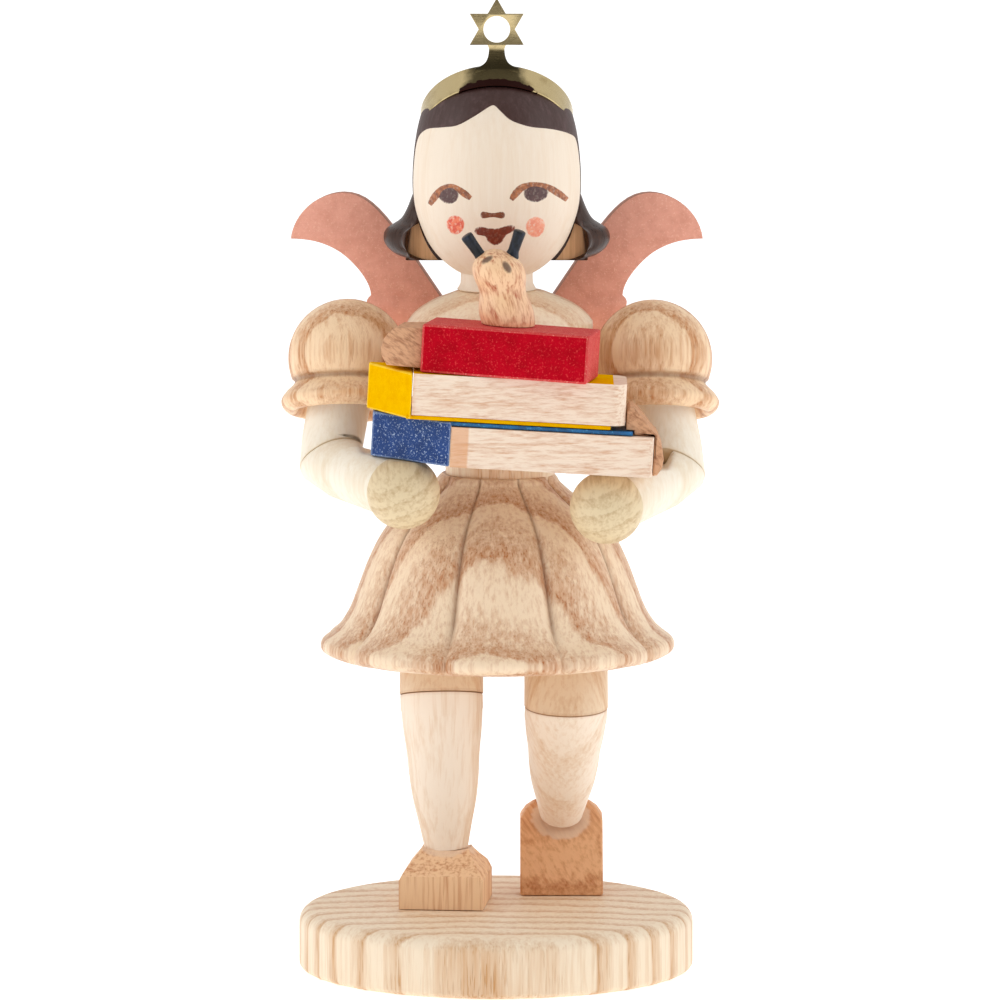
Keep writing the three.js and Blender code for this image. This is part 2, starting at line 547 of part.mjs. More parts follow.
// A page block with its right-hand edges rounded.
const rounded = (x0, x1, y0, y1, r) => [[x0, y0], [x1 - r, y0], [x1 - 0.3 * r, y0 + 0.3 * r], [x1, y0 + r],
  [x1, y1 - r], [x1 - 0.3 * r, y1 - 0.3 * r], [x1 - r, y1], [x0, y1]];
// The painted spine end of a book: a skewed block with a thin board whose underside is at boardLow.
function cover(book, boardLow) {
  const spine = [[book.corner, 0], [book.corner, BOOK_D], [book.x0, BOOK_D], [book.x0, book.skew]];
  const board = rect(book.corner - 0.5, book.boardEnd, 0.25, BOOK_D);
  return onStack(prism(spine, book.z0, book.z1)).add(onStack(prism(board, boardLow, boardLow + BOARD_T)));
}
piece("book_blue_cover", cover(BLUE, BLUE.z1 - BOARD_T), wood(0x32558c, 0.45));
const bluePages = rect(BLUE.corner + GLUE, BLUE.x1, 0, BOOK_D);
piece("book_blue_pages", onStack(prism(bluePages, BLUE.z0, BLUE.z1 - BOARD_T - GLUE)), PAGES);
piece("book_yellow_cover", cover(YELLOW, YELLOW.z0), wood(0xfac800, 0.45));
const yellowPages = rounded(YELLOW.corner + GLUE, YELLOW.x1, 0, BOOK_D, YELLOW_CORNER_R);
piece("book_yellow_pages", onStack(prism(yellowPages, YELLOW.z0 + BOARD_T + GLUE, YELLOW.z1)), PAGES);
const redBlock = prism(rect(RED.x0, RED.x1, 0, RED.d), RED.z0, RED.z1);
piece("book_red_cover", onStack(redYaw(redBlock)), wood(0xbe0523, 0.45));
const foreEdge = plate(FORE_EDGE.map(([x, z]) => [x + RED.x0, z]), ...FORE_EDGE_Y);
piece("book_red_pages", onStack(redYaw(foreEdge)), END_GRAIN);
piece("book_end_block", onStack(plate(END_REST, ...END_REST_Y)), END_GRAIN);

// ---- bookworm ----
const wormShape = turned([...WORM_PROFILE, [WORM_H, 0.3]], 18);
const bent = wormShape.getAttribute("position");
for (let i = 0; i < bent.count; i++) {
  bent.setX(i, bent.getX(i) + WORM_LEAN * (bent.getZ(i) / WORM_H - WORM_PIVOT));
}
wormShape.translate(WORM_FOOT.x, WORM_FOOT.y, WORM_FOOT.z);
const onRed = STACK_ORIGIN.clone().addScaledVector(stackUp, RED.z1 + GLUE);
let worm = solid(wormShape).subtract(halfSpace(onRed, stackUp.clone().negate()));
for (const [, from, to] of FEELERS) {
  const along = to.clone().sub(from).normalize();
  worm = worm.subtract(rod(from.clone().addScaledVector(along, -GLUE), to, FEELER_R + GLUE, 12));
}
piece("worm_body", worm, wood(0xf0be96, 0.5));
for (const [name, from, to] of FEELERS) piece(name, rod(from, to, FEELER_R, 12), wood(0x1e2332, 0.3));

export default group;
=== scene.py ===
"""Looks of a turned and carved wooden angel who carries three books with a bookworm on top.

Shapes are worked out in millimetres in the frame's axes and become metres when a piece is made.
The figure faces -Y; "_r" is its own right hand side (-X), "_l" its left (+X).
"""
import math

import bmesh
import bpy
from mathutils import Matrix, Vector


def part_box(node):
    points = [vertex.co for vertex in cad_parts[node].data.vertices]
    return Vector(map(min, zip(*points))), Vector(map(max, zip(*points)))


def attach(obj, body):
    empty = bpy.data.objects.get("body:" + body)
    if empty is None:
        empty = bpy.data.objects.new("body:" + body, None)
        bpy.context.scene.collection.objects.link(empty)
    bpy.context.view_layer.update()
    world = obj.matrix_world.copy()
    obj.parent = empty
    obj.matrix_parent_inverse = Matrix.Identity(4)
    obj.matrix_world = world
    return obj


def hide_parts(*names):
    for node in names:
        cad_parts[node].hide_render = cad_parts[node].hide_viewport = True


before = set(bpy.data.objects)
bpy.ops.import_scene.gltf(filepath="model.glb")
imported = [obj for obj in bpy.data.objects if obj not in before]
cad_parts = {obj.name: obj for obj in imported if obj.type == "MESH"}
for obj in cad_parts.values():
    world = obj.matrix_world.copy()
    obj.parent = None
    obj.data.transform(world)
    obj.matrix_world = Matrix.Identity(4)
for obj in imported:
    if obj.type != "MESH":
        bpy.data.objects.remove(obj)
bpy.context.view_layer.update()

MM = 0.001
UP = Vector((0, 0, 1))
FINE = 128  # points round a large turned piece
SMALL = 72  # points round a small one
GLUE = 0.05  # gap left for glue between neighbours

# ---- camera and light ----
CAMERA_DISTANCE = 650.0
CAMERA_ELEVATION = 7.3
CAMERA_AIM = Vector((0.27, 0.0, 32.0))
CAMERA_LENS = 344.9
CAMERA_SENSOR = 36.0
FRONT_WALL = 0.32
SIDE_WALL = 0.85


# ---- small geometry tools ----
def box_mm(node):
    lo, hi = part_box(node)
    return lo / MM, hi / MM


def middle(node):
    lo, hi = box_mm(node)
    return (lo + hi) / 2


def flow(points, per=6):
    """A smooth line through points of any dimension (Catmull-Rom)."""
    line = []
    for i in range(len(points) - 1):
        p0 = points[max(i - 1, 0)]
        p1, p2 = points[i], points[i + 1]
        p3 = points[min(i + 2, len(points) - 1)]
        for k in range(per):
            t = k / per
            line.append(tuple(
                0.5 * (2 * b + (c - a) * t + (2 * a - 5 * b + 4 * c - d) * t * t
                       + (3 * b - a - 3 * c + d) * t ** 3)
                for a, b, c, d in zip(p0, p1, p2, p3)
            ))
    line.append(tuple(points[-1]))
    return line


def arc(centre_h, centre_r, radius, start, end, steps=6):
    """Profile points (height, radius) round part of a circle; 0 degrees points outwards, 90 up."""
    points = []
    for i in range(steps + 1):
        a = math.radians(start + (end - start) * i / steps)
        points.append((centre_h + radius * math.sin(a), centre_r + radius * math.cos(a)))
    return points


def between(table, at):
    """Straight-line reading of a table of (place, value) pairs in rising order."""
    for (a, va), (b, vb) in zip(table, table[1:]):
        if at <= b:
            return va + (vb - va) * max(0.0, at - a) / (b - a)
    return table[-1][1]


def smoothstep(low, high, x):
    t = min(1.0, max(0.0, (x - low) / (high - low)))
    return t * t * (3 - 2 * t)


def basis(axis):
    """Two unit vectors square to an axis and to each other."""
    helper = Vector((0, 1, 0)) if abs(axis.y) < 0.9 else Vector((1, 0, 0))
    side = helper.cross(axis).normalized()
    return side, axis.cross(side).normalized()


def turned_rings(profile, centre, axis=UP, around=FINE):
    """Rings about an axis from (height, radius) pairs, heights counted from the centre."""
    axis = axis.normalized()
    side, front = basis(axis)
    turns = [2 * math.pi * i / around for i in range(around)]
    rings = []
    for height, radius in profile:
        at = centre + axis * height
        rings.append([at + side * (radius * math.cos(a)) + front * (radius * math.sin(a)) for a in turns])
    return rings


def slide_to_plane(ring, along, point, normal):
    """Moves each point of a ring along a direction until it lies in a plane."""
    step = along.dot(normal)
    return [p - along * ((p - point).dot(normal) / step) for p in ring]


def below_plane(rings, point, normal):
    """Presses whatever stands above a plane down onto it."""
    return [[p - normal * max(0.0, (p - point).dot(normal)) for p in ring] for ring in rings]


def skin(rings):
    """Vertices and faces of one closed skin over rings that have the same number of points."""
    n = len(rings[0])
    verts = [p for ring in rings for p in ring]
    faces = []
    for j in range(len(rings) - 1):
        for i in range(n):
            k = (i + 1) % n
            faces.append((j * n + i, j * n + k, (j + 1) * n + k, (j + 1) * n + i))
    faces.append(tuple(reversed(range(n))))
    faces.append(tuple(range((len(rings) - 1) * n, len(rings) * n)))
    return verts, faces


def prism(outline, low, high, place):
    """Rings of a straight block over an XY outline."""
    return [[place(Vector((x, y, z))) for x, y in outline] for z in (low, high)]


def piece(name, shape, looks, stands_for=None, slot=None, crease=32, edge=0.0, edge_steps=3, **marks):
    """Makes one shown piece that rides on the figure and may stand for a CAD node.

    shape is a list of rings, or a pair of vertices and faces. marks are values for each vertex, such as
    the darkening for stains and painted shade, which the materials read by name.
    """
    verts, faces = skin(shape) if isinstance(shape, list) else shape
    mesh = bpy.data.meshes.new(name)
    mesh.from_pydata([Vector(v) * MM for v in verts], [], faces)
    made = bmesh.new()
    made.from_mesh(mesh)
    bmesh.ops.recalc_face_normals(made, faces=made.faces)
    made.to_mesh(mesh)
    made.free()
    for mark, values in marks.items():
        mesh.attributes.new(mark, "FLOAT", "POINT").data.foreach_set("value", values)
    for look in looks if isinstance(looks, list) else [looks]:
        mesh.materials.append(look)
    mesh.shade_smooth()
    mesh.set_sharp_from_angle(angle=math.radians(crease))
    made_piece = new_object(name, mesh)
    if edge:
        soften(made_piece, edge, edge_steps)
    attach(made_piece, "root")
    if stands_for:
        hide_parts(stands_for)
    return made_piece


def new_object(name, data):
    made = bpy.data.objects.new(name, data)
    bpy.context.scene.collection.objects.link(made)
    return made


def soften(thing, width, steps=3):
    """Rounds an object's sharp edges; where it has two materials, the second goes on the rounded edges."""
    rounding = thing.modifiers.new("rounding", "BEVEL")
    rounding.width = width * MM
    rounding.segments = steps
    rounding.limit_method = "ANGLE"
    rounding.angle_limit = math.radians(25)
    if len(thing.data.materials) > 1:
        rounding.material = 1
    thing.modifiers.new("normals", "WEIGHTED_NORMAL").keep_sharp = False


# ---- materials ----
def rgb(code):
    """A colour from a hex code in sRGB."""
    parts = [int(code[i:i + 2], 16) / 255 for i in (0, 2, 4)]
    return (*[c / 12.92 if c <= 0.04045 else ((c + 0.055) / 1.055) ** 2.4 for c in parts], 1.0)


class Nodes:
    """A node tree, emptied, with one short call for each kind of node."""

    def __init__(self, owner):
        owner.use_nodes = True
        self.owner = owner
        self.tree = owner.node_tree
        self.tree.nodes.clear()

    def feed(self, socket, value):
        """Links an output, or sets a value; a text is a colour's hex code."""
        if isinstance(value, bpy.types.NodeSocket):
            self.tree.links.new(value, socket)
        else:
            socket.default_value = rgb(value) if isinstance(value, str) else value

    def add(self, kind, settings, inputs):
        node = self.tree.nodes.new(kind)
        for key, value in settings.items():
            setattr(node, key, value)
        for key, value in inputs.items():
            self.feed(node.inputs[key], value)
        return node

    def math(self, operation, a, b=0.0, c=0.0):
        return self.add("ShaderNodeMath", {"operation": operation}, {0: a, 1: b, 2: c}).outputs[0]

    def scaled(self, value, by, plus=0.0):
        return self.math("MULTIPLY_ADD", value, by, plus)

    def split(self, vector):
        return self.add("ShaderNodeSeparateXYZ", {}, {"Vector": vector}).outputs

    def ramp(self, value, stops):
        """A smooth change through stops, which are (place, grey)."""
        node = self.add("ShaderNodeValToRGB", {}, {"Fac": value})
        node.color_ramp.interpolation = "EASE"
        points = node.color_ramp.elements
        while len(points) < len(stops):
            points.new(0.5)
        for point, (at, grey) in zip(points, stops):
            point.position = at
            point.color = (grey, grey, grey, 1)
        return node.outputs[0]

    def mix(self, share, a, b):
        node = self.add("ShaderNodeMix", {"data_type": "RGBA"}, {})
        for socket, value in ((0, share), (6, a), (7, b)):
            self.feed(node.inputs[socket], value)
        return node.outputs[2]


class Look(Nodes):
    """A procedural material."""

    def __init__(self, name):
        super().__init__(bpy.data.materials.new(name))

    def place(self, stretch=(1, 1, 1), turn=(0, 0, 0), shift=(0, 0, 0)):
        """The place on the object in millimetres, turned into the grain and stretched along it."""
        coords = self.add("ShaderNodeTexCoord", {}, {}).outputs["Object"]
        angles = [math.radians(a) for a in turn]
        turned = self.add("ShaderNodeMapping", {}, {
            "Vector": coords, "Location": shift, "Rotation": angles, "Scale": (1 / MM,) * 3,
        }).outputs[0]
        return self.add("ShaderNodeMapping", {}, {"Vector": turned, "Scale": stretch}).outputs[0]

    def noise(self, where, scale, detail=2.0, rough=0.5, bend=0.0):
        return self.add("ShaderNodeTexNoise", {}, {
            "Vector": where, "Scale": scale, "Detail": detail, "Roughness": rough, "Distortion": bend,
        }).outputs[0]

    def mark(self, name):
        return self.add("ShaderNodeAttribute", {"attribute_name": name}, {}).outputs["Fac"]

    def bump(self, height, depth):
        return self.add("ShaderNodeBump", {}, {"Height": height, "Distance": depth * MM}).outputs[0]

    def finish(self, colour, roughness, normal=None, **values):
        """The shader: values are its other sockets by name, with _ for a space."""
        inputs = {"Base Color": colour, "Roughness": roughness}
        if normal is not None:
            inputs["Normal"] = normal
        inputs.update({key.replace("_", " "): value for key, value in values.items()})
        shader = self.add("ShaderNodeBsdfPrincipled", {}, inputs).outputs[0]
        self.add("ShaderNodeOutputMaterial", {}, {"Surface": shader})
        return self.owner


def grain(look, pale, dark, spacing=2.4, ring=0.6, wave=1.0, streak=0.3, pores=0.0, turn=(0, 0, 0),
          shift=(0, 0, 0), early=0.45, curve=0.0, fine=3.4, length=0.045):
    """Colour and relief of wood.

    Before it is turned and shifted its fibres run along Z and its growth rings are layers across Y.
    Rings have a spacing and wave in millimetres, ring is how strongly they darken, early where in one
    the dark wood ends and curve bends them. fine and length set how thin and how drawn out fibres are.
    """
    along = look.place((1, 1, 0.22), turn, shift)
    fibres = look.place((1, 1, length), turn, shift)
    split = look.split(look.place((1, 1, 1), turn, shift))
    drift = look.noise(along, 0.14, 3.0, 0.55)
    depth = look.scaled(look.math("SUBTRACT", drift, 0.5), 2 * wave, split[1])
    if curve:
        depth = look.scaled(look.math("MULTIPLY", split[0], split[0]), curve, depth)
    wobble = look.noise(fibres, 1.3, 2.0)
    depth = look.scaled(look.math("SUBTRACT", wobble, 0.5), 0.5, depth)
    phase = look.math("FRACT", look.math("DIVIDE", depth, spacing))
    late = min(early + 0.3, 0.95)
    band = look.ramp(phase, [(0.0, 0.15), (0.1, 1.0), (early, 0.55), (late, 0.06), (1.0, 0.12)])
    fibre = look.noise(fibres, fine, 3.0, 0.65)
    streaks = look.math("MULTIPLY", look.math("SUBTRACT", fibre, 0.5), 2 * streak)
    share = look.scaled(band, ring, streaks)
    relief = look.scaled(band, 0.35, fibre)
    if pores:
        vessels = look.noise(look.place((1, 1, 0.06), turn, shift), 9.0, 1.0)
        open_pores = look.ramp(vessels, [(0.56, 0.0), (0.68, 1.0)])
        open_pores = look.math("MULTIPLY", open_pores, look.scaled(band, 0.8, 0.2))
        share = look.scaled(open_pores, pores, share)
        relief = look.scaled(open_pores, -0.9, relief)
    share = look.add("ShaderNodeClamp", {}, {"Value": share}).outputs[0]
    return look.mix(share, pale, dark), relief


def wood(name, pale, dark, roughness=0.5, stain="6b4a32", relief=0.02, coat=0.0, **figure):
    """Bare or lacquered wood; a vertex mark darkens it at dark glued seams and, as painted shade, in
    creases and grooves.
    """
    look = Look(name)
    colour, height = grain(look, pale, dark, **figure)
    darkened = look.math("MULTIPLY", look.mark("stain"), 0.85)
    colour = look.mix(darkened, colour, stain)
    satin = look.scaled(height, 0.12, roughness - 0.06)
    return look.finish(colour, satin, look.bump(height, relief), Coat_Weight=coat, Coat_Roughness=0.35)


def shoe_wood(name, pale, dark, ankle, **figure):
    """Orange wood with a bare pale ring where the ankle, at a point in millimetres, is glued in."""
    look = Look(name)
    colour, height = grain(look, pale, dark, **figure)
    distance = look.add("ShaderNodeVectorMath", {"operation": "DISTANCE"}, {0: look.place(), 1: ankle})
    reach = distance.outputs["Value"]
    frayed = look.scaled(look.noise(look.place(), 2.2, 3.0), 0.5, reach)
    ring = look.ramp(look.math("DIVIDE", frayed, 4.0), [(0.54, 0.75), (0.62, 0.0)])
    satin = look.scaled(height, 0.12, 0.52)
    return look.finish(look.mix(ring, colour, "efd0b4"), satin, look.bump(height, 0.05))


def speckled_paint(name, main, light, deep, roughness=0.45, specks=0.5, worn=0.0, gloss=0.5):
    """Thin matt paint with fine pale specks, lightened in patches towards the light colour as far as its
    lightening setting says.
    """
    look = Look(name)
    where = look.place()
    mottle = look.noise(where, 1.1, 4.0, 0.65)
    colour = look.mix(look.ramp(mottle, [(0.35, 0.0), (0.7, 0.7)]), main, deep)
    dust = look.noise(where, 7.0, 2.0, 0.75)
    dots = look.ramp(dust, [(0.56, 0.0), (0.68, specks)])
    colour = look.mix(dots, colour, light)
    # Patches turn towards the light colour; on the red book's top and end this is painted light.
    lightening = look.ramp(look.noise(where, 2.6, 3.0, 0.6), [(0.3, worn), (0.75, worn * 0.35)])
    colour = look.mix(lightening, colour, light)
    height = look.scaled(dust, 0.7, look.noise(look.place((0.2, 1, 1)), 4.0))
    matt = look.scaled(dust, 0.25, roughness - 0.1)
    return look.finish(colour, matt, look.bump(height, 0.03), Specular_IOR_Level=gloss)


def brushed(name, colour, dark, roughness):
    """Sheet metal with rolled lines and tarnish; one vertex mark darkens it as painted reflection and
    painted shade, another lays ragged dark brown painted shade over it.
    """
    look = Look(name)
    lines = look.noise(look.place((0.35, 6, 6)), 3.0, 3.0, 0.7)
    tarnish = look.ramp(look.noise(look.place(), 0.9, 4.0, 0.6), [(0.45, 0.0), (0.8, 0.55)])
    tint = look.mix(tarnish, colour, dark)
    # Painted reflection and shade: the first vertex mark darkens the metal towards a dark olive.
    frayed = look.scaled(look.noise(look.place(), 1.6, 3.0, 0.6), 0.5, look.mark("stain"))
    tint = look.mix(look.ramp(frayed, [(0.45, 0.0), (1.05, 0.93)]), tint, "3c3420")
    # Painted shade: the second vertex mark lays ragged dark brown over the metal.
    daubed = look.scaled(look.noise(look.place(), 2.4, 2.0), 0.6, look.mark("paint"))
    tint = look.mix(look.ramp(daubed, [(0.75, 0.0), (0.8, 1.0)]), tint, "2b1512")
    gloss = look.scaled(lines, 0.12, roughness)
    return look.finish(tint, gloss, look.bump(lines, 0.006), Metallic=1.0)


def lacquer(name, main, light, roughness, stretch=(1, 1, 0.15), coat=0.0):
    """Dark paint brushed along its length, with lighter streaks that are partly brush marks and partly
    painted sheen; the strokes change both its roughness and its specular level.
    """
    look = Look(name)
    strokes = look.noise(look.place(stretch), 3.2, 4.0, 0.65)
    patches = look.noise(look.place(), 0.7, 3.0)
    # Painted sheen, partly brush marks: the strokes turn the paint towards the lighter colour.
    thin = look.ramp(strokes, [(0.4, 0.0), (0.8, 1.0)])
    share = look.math("MULTIPLY", thin, look.ramp(patches, [(0.3, 0.2), (0.7, 1.0)]))
    satin = look.scaled(strokes, 0.2, roughness)
    return look.finish(look.mix(share, main, light), satin, look.bump(strokes, 0.03),
                       Coat_Weight=coat, Coat_Roughness=0.18, Specular_IOR_Level=satin)


FACE_WOOD = ("f3e3cf", "e8cfb2")  # pale and dark


def face_paint(name, main, deep, cover=1.0, thin=0.25, mottle=0.5):
    """Watery paint on the face: the wood shows at the rim and through the thin places."""
    look = Look(name)
    bare, height = grain(look, *FACE_WOOD, spacing=3.1, ring=0.25, streak=0.35)
    where = look.place()
    pool = look.noise(where, 3.2, 3.0, 0.6)
    colour = look.mix(look.ramp(pool, [(0.35, 0.0), (0.65, mottle)]), main, deep)
    fray = look.scaled(look.noise(look.place((1, 1, 0.4)), 7.0, 2.0), 0.35, -0.17)
    rim = look.ramp(look.math("ADD", look.mark("inside"), fray), [(0.02, 0.0), (0.22, 1.0)])
    holes = look.ramp(look.noise(where, 4.5, 2.0, 0.6), [(0.34, 1 - thin), (0.5, 1.0)])
    share = look.math("MULTIPLY", look.math("MULTIPLY", rim, holes), cover)
    return look.finish(look.mix(share, bare, colour), 0.5, look.bump(height, 0.015))


ASH = {"pores": 0.3, "streak": 0.62}
LIME = {"wave": 1.5, "stain": "b0743c"}
M_BASE = wood("base_ash", "f6e3c8", "cc955c", relief=0.03, spacing=2.3, ring=0.62, wave=1.3, early=0.3,
              curve=0.012, **ASH)
M_SHOE = shoe_wood("shoe_beech", "f6cda2", "b8662f", (-3.4, 1.88, 8.0), spacing=1.6, ring=0.3, streak=1.5,
                   wave=0.6)
M_SHOE_TIP = shoe_wood("shoe_beech_tipped", "efb888", "b86c36", (4.48, 7.1, 9.38), spacing=2.6, ring=0.55,
                       streak=1.1, wave=1.2, turn=(62, 25, 0))
M_LEG = wood("leg_lime", "f7e6d2", "d8ae80", spacing=3.4, ring=0.3, streak=0.75, **LIME)
M_THIGH = wood("thigh_lime", "f0d8b8", "cf9a64", spacing=3.0, ring=0.4, streak=0.8, **LIME)
M_DOWEL = wood("dowel", "ecd9bd", "d2ad82", 0.6, spacing=1.8, ring=0.3)
M_SKIRT = wood("skirt_ash", "f6dcbc", "b96e30", 0.48, relief=0.035, spacing=2.9, ring=0.56, wave=1.6,
               early=0.5, coat=0.15, stain="7a4a2c", pores=0.25, streak=0.8)
M_TORSO = wood("torso_ash", "fce6c8", "d59a66", relief=0.03, spacing=3.2, ring=0.5, wave=1.2, coat=0.15,
               shift=(0, 1.1, 0), **ASH)
M_SLEEVE = wood("sleeve_ash", "f9d6ad", "c0752f", 0.42, relief=0.035, spacing=1.9, ring=0.62, wave=0.8,
                early=0.5, coat=0.2, turn=(16, 0, 0), shift=(0, 0.6, 0), stain="7a4d2c", pores=0.25,
                streak=0.9)
M_FACE = wood("face_maple", *FACE_WOOD, 0.45, relief=0.015, spacing=3.1, ring=0.25, streak=0.55)
M_ARM = wood("arm_maple", "f9efdd", "dec296", relief=0.015, spacing=3.3, ring=0.3, streak=0.5,
             stain="dcc39c")
# Painted shade: darker than the arm's maple, for the shadow of the books above the hands.
M_HAND_SHADED = wood("hand_maple", "e2cda6", "a9824e", spacing=1.1, ring=0.3, streak=0.8, turn=(70, 0, 20))
M_HAIR = lacquer("hair_paint", "3a1c15", "563a3a", 0.42, coat=0.03)
M_FLIP = lacquer("hair_gloss", "321809", "4c2b18", 0.2)
M_FACET = wood("hair_facet", "dcae80", "966638", 0.6, spacing=1.4, ring=0.4, streak=0.8, relief=0.03,
               stain="1a0c08")
M_BRASS = brushed("brass", "c8b486", "927b4a", 0.17)
M_WING = speckled_paint("copper_wood", "f0a992", "ffcab0", "dd947c", 0.5, specks=0.55)
M_WING_EDGE = speckled_paint("copper_wood_edge", "b8785e", "d89a80", "9c664e", 0.55, specks=0.3)
M_BLUE = speckled_paint("book_blue", "1e4180", "a9bcda", "123064", 0.5, specks=0.85, gloss=0.25)
M_BLUE_EDGE = speckled_paint("book_blue_edge", "3e5e96", "a9bcda", "2a4a80", 0.55, specks=0.9,
                             worn=0.25)
M_BOARD = speckled_paint("book_blue_board", "0f6fae", "55b0dc", "0a4474", 0.35, specks=0.6)
M_YELLOW = speckled_paint("book_yellow", "f0b800", "ffd010", "e6a600", 0.55, specks=0.35, gloss=0.0)
M_YELLOW_EDGE = speckled_paint("book_yellow_edge", "f7c818", "ffe060", "eeb000", 0.5, worn=0.2, gloss=0.1)
M_RED = speckled_paint("book_red", "bc001c", "ee4c4c", "a20012", 0.5, specks=0.45, gloss=0.05)
# Painted light: a lighter copy of the red paint for the book's top and end.
M_RED_LIT = speckled_paint("book_red_worn", "cc2830", "ee9484", "bc0820", 0.55, specks=0.8, worn=0.22,
                            gloss=0.1)
M_PAGES = wood("pages", "f5dfc9", "d09870", 0.6, relief=0.05, spacing=0.9, ring=0.22, streak=1.3, wave=0.5,
               turn=(0, 90, 0), stain="e2a06c", fine=6.5, length=0.13)
M_END = wood("end_grain", "d8a47c", "8c4e28", 0.65, relief=0.06, spacing=0.7, ring=0.35, streak=1.4,
             wave=0.5, turn=(30, 50, 0), fine=4.5, length=0.25)
M_WORM = wood("worm", "f8cda0", "b45218", 0.4, relief=0.04, spacing=1.3, ring=0.3, streak=1.7, coat=0.3,
              turn=(8, 14, 0), stain="4a2c1a", fine=4.2, length=0.2)
M_FEELER = lacquer("feeler", "0c1016", "24304a", 0.22, stretch=(1, 1, 0.5))
M_IRIS = face_paint("iris_paint", "5e403e", "40282a", thin=0.1)
M_LID = face_paint("lid_paint", "b4652c", "6e3014", cover=0.95, thin=0.2, mottle=0.9)
M_MOUTH = face_paint("mouth_paint", "7c2c0e", "561806", thin=0.05)
M_NOSE = face_paint("nose_paint", "82401c", "5c2a12", thin=0.1)
M_CHEEK_R = face_paint("cheek_paint_r", "f48058", "dc3c26", cover=0.95, thin=0.55, mottle=0.9)
M_CHEEK_L = face_paint("cheek_paint_l", "f59a78", "ec6e4c", cover=0.85, thin=0.5, mottle=0.7)


# ---- base ----
BASE_FOOT_ROUND = 0.4
BASE_TOP_ROUND = 1.0


def make_base():
    lo, hi = box_mm("base_disc")
    radius = (hi.y - lo.y) / 2
    height = hi.z - lo.z
    foot, top = BASE_FOOT_ROUND, BASE_TOP_ROUND
    profile = [(0, 0.3), *arc(foot, radius - foot, foot, -90, 0, 4)]
    profile += arc(height - top, radius - top, top, 0, 90, 8)
    profile += [(height, radius * share) for share in (0.7, 0.35, 0.02)]
    rings = turned_rings(profile, Vector((0, 0, lo.z)))
    piece("base", rings, M_BASE, "base_disc", "base_ash", crease=60)


# ---- shoes: the CAD solids with softened edges ----
def dress(node, look):
    """Puts a material on a CAD solid that stays in sight."""
    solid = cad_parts[node]
    solid.data.materials.clear()
    solid.data.materials.append(look)
    return solid


def make_shoe(node, look):
    shoe = dress(node, look)
    shoe.modifiers.new("weld", "WELD").merge_threshold = 0.002 * MM
    flat = shoe.modifiers.new("flat_faces", "DECIMATE")
    flat.decimate_type = "DISSOLVE"
    flat.angle_limit = math.radians(2)
    soften(shoe, 0.14)


# ---- legs ----
LEG_R = 2.86
KNEE = {"r": Vector((-3.72, 1.6, 18.45)), "l": Vector((4.78, 1.5, 17.6))}
ANKLE = {"r": Vector((-3.4, 1.88, 7.88)), "l": Vector((4.48, 7.1, 9.38))}
THIGH_LEAN = math.radians(27)
THIGH_LENGTH = 7.0
THIGH_TAPER = 0.01
SHIN_PROFILE = [  # share of the length from the knee, share of the leg's radius
    (0.09, 0.975), (0.22, 0.94), (0.38, 0.87), (0.53, 0.83), (0.68, 0.76), (0.83, 0.645), (0.93, 0.57),
    (1, 0.52),
]
SHIN_TOP_R = LEG_R * 0.985
SEAM = 0.07  # width of the soft edge beside a glued joint
SEAM_EDGE = (  # distance from the mitre, how far in from the skin, stain
    (0.02, 0.7 * SEAM, 1.0), (SEAM, 0.0, 0.25), (4 * SEAM, 0.0, 0.0),
)


def limb(start, end, radii, mitre=None, around=SMALL):
    """Rings of a round limb and the stain of each vertex; its start may be cut off in a mitre plane."""
    axis = (end - start).normalized()
    length = (end - start).length
    rings = turned_rings([(t * length, r) for t, r in radii], start, axis, around)
    stain = [0.0] * len(rings)
    if mitre is not None:
        radius = radii[0][1]
        edge = [(0.0, 0.5 * radius, 1.0), *SEAM_EDGE]
        cut = []
        for inset, shrink, _ in edge:
            ring = turned_rings([(0, radius - shrink)], start, axis, around)[0]
            cut.append([p + axis * inset for p in slide_to_plane(ring, axis, start, mitre)])
        rings = cut + rings
        stain = [mark for _, _, mark in edge] + stain
    return rings, [mark for mark in stain for _ in range(around)]


def make_leg(side):
    knee, ankle = KNEE[side], ANKLE[side]
    up = Vector((0, math.sin(THIGH_LEAN), math.cos(THIGH_LEAN)))
    down = (ankle - knee).normalized()
    mitre = (up - down).normalized()
    profile = [(t, r * LEG_R) for t, r in flow(SHIN_PROFILE, 5)]
    profile[0] = (profile[0][0], SHIN_TOP_R)
    rings, stain = limb(knee, ankle, profile, mitre)
    piece("shin_" + side, rings, M_LEG, "lower_leg_" + side, "leg_lime", stain=stain)
    tube = [(t, LEG_R * (1 - THIGH_TAPER * t)) for t in (0.12, 0.4, 0.7, 1.0)]
    rings, stain = limb(knee, knee + up * THIGH_LENGTH, tube, mitre)
    piece("upper_leg_" + side, rings, M_THIGH, "thigh_" + side, "leg_lime", stain=stain)


# ---- skirt ----
PANELS = 9
PANEL_TURN = math.radians(-17.7)  # from the front to one crease
PANEL_STEPS = 28
HEM_LIFT = 0.16  # how much higher the lip is at the middle of a panel
SKIRT_RINGS = [  # height, radius at the middle of a panel, how far a crease lies inside it
    (33.5, 3.75, 0.05), (33.42, 3.95, 0.2), (33.2, 4.15, 0.4), (32.95, 4.3, 0.42), (32.3, 5.0, 0.42),
    (31.2, 6.35, 0.46), (30.1, 7.45, 0.5), (29.0, 8.2, 0.54), (27.5, 8.92, 0.58), (25.9, 9.52, 0.6),
    (24.4, 10.1, 0.62), (23.3, 10.78, 0.66), (22.7, 11.4, 0.7), (22.2, 11.95, 0.72), (21.8, 12.12, 0.72),
    (21.45, 12.08, 0.7), (21.2, 11.85, 0.64), (21.05, 11.45, 0.56),
]
SKIRT_INSIDE = [
    (21.05, 10.9, 0.5), (21.5, 10.6, 0.45), (22.3, 10.2, 0.35), (23.5, 9.2, 0.15), (24.0, 8.4, 0.02),
    (24.1, 7.6, 0), (24.1, 0.3, 0),
]


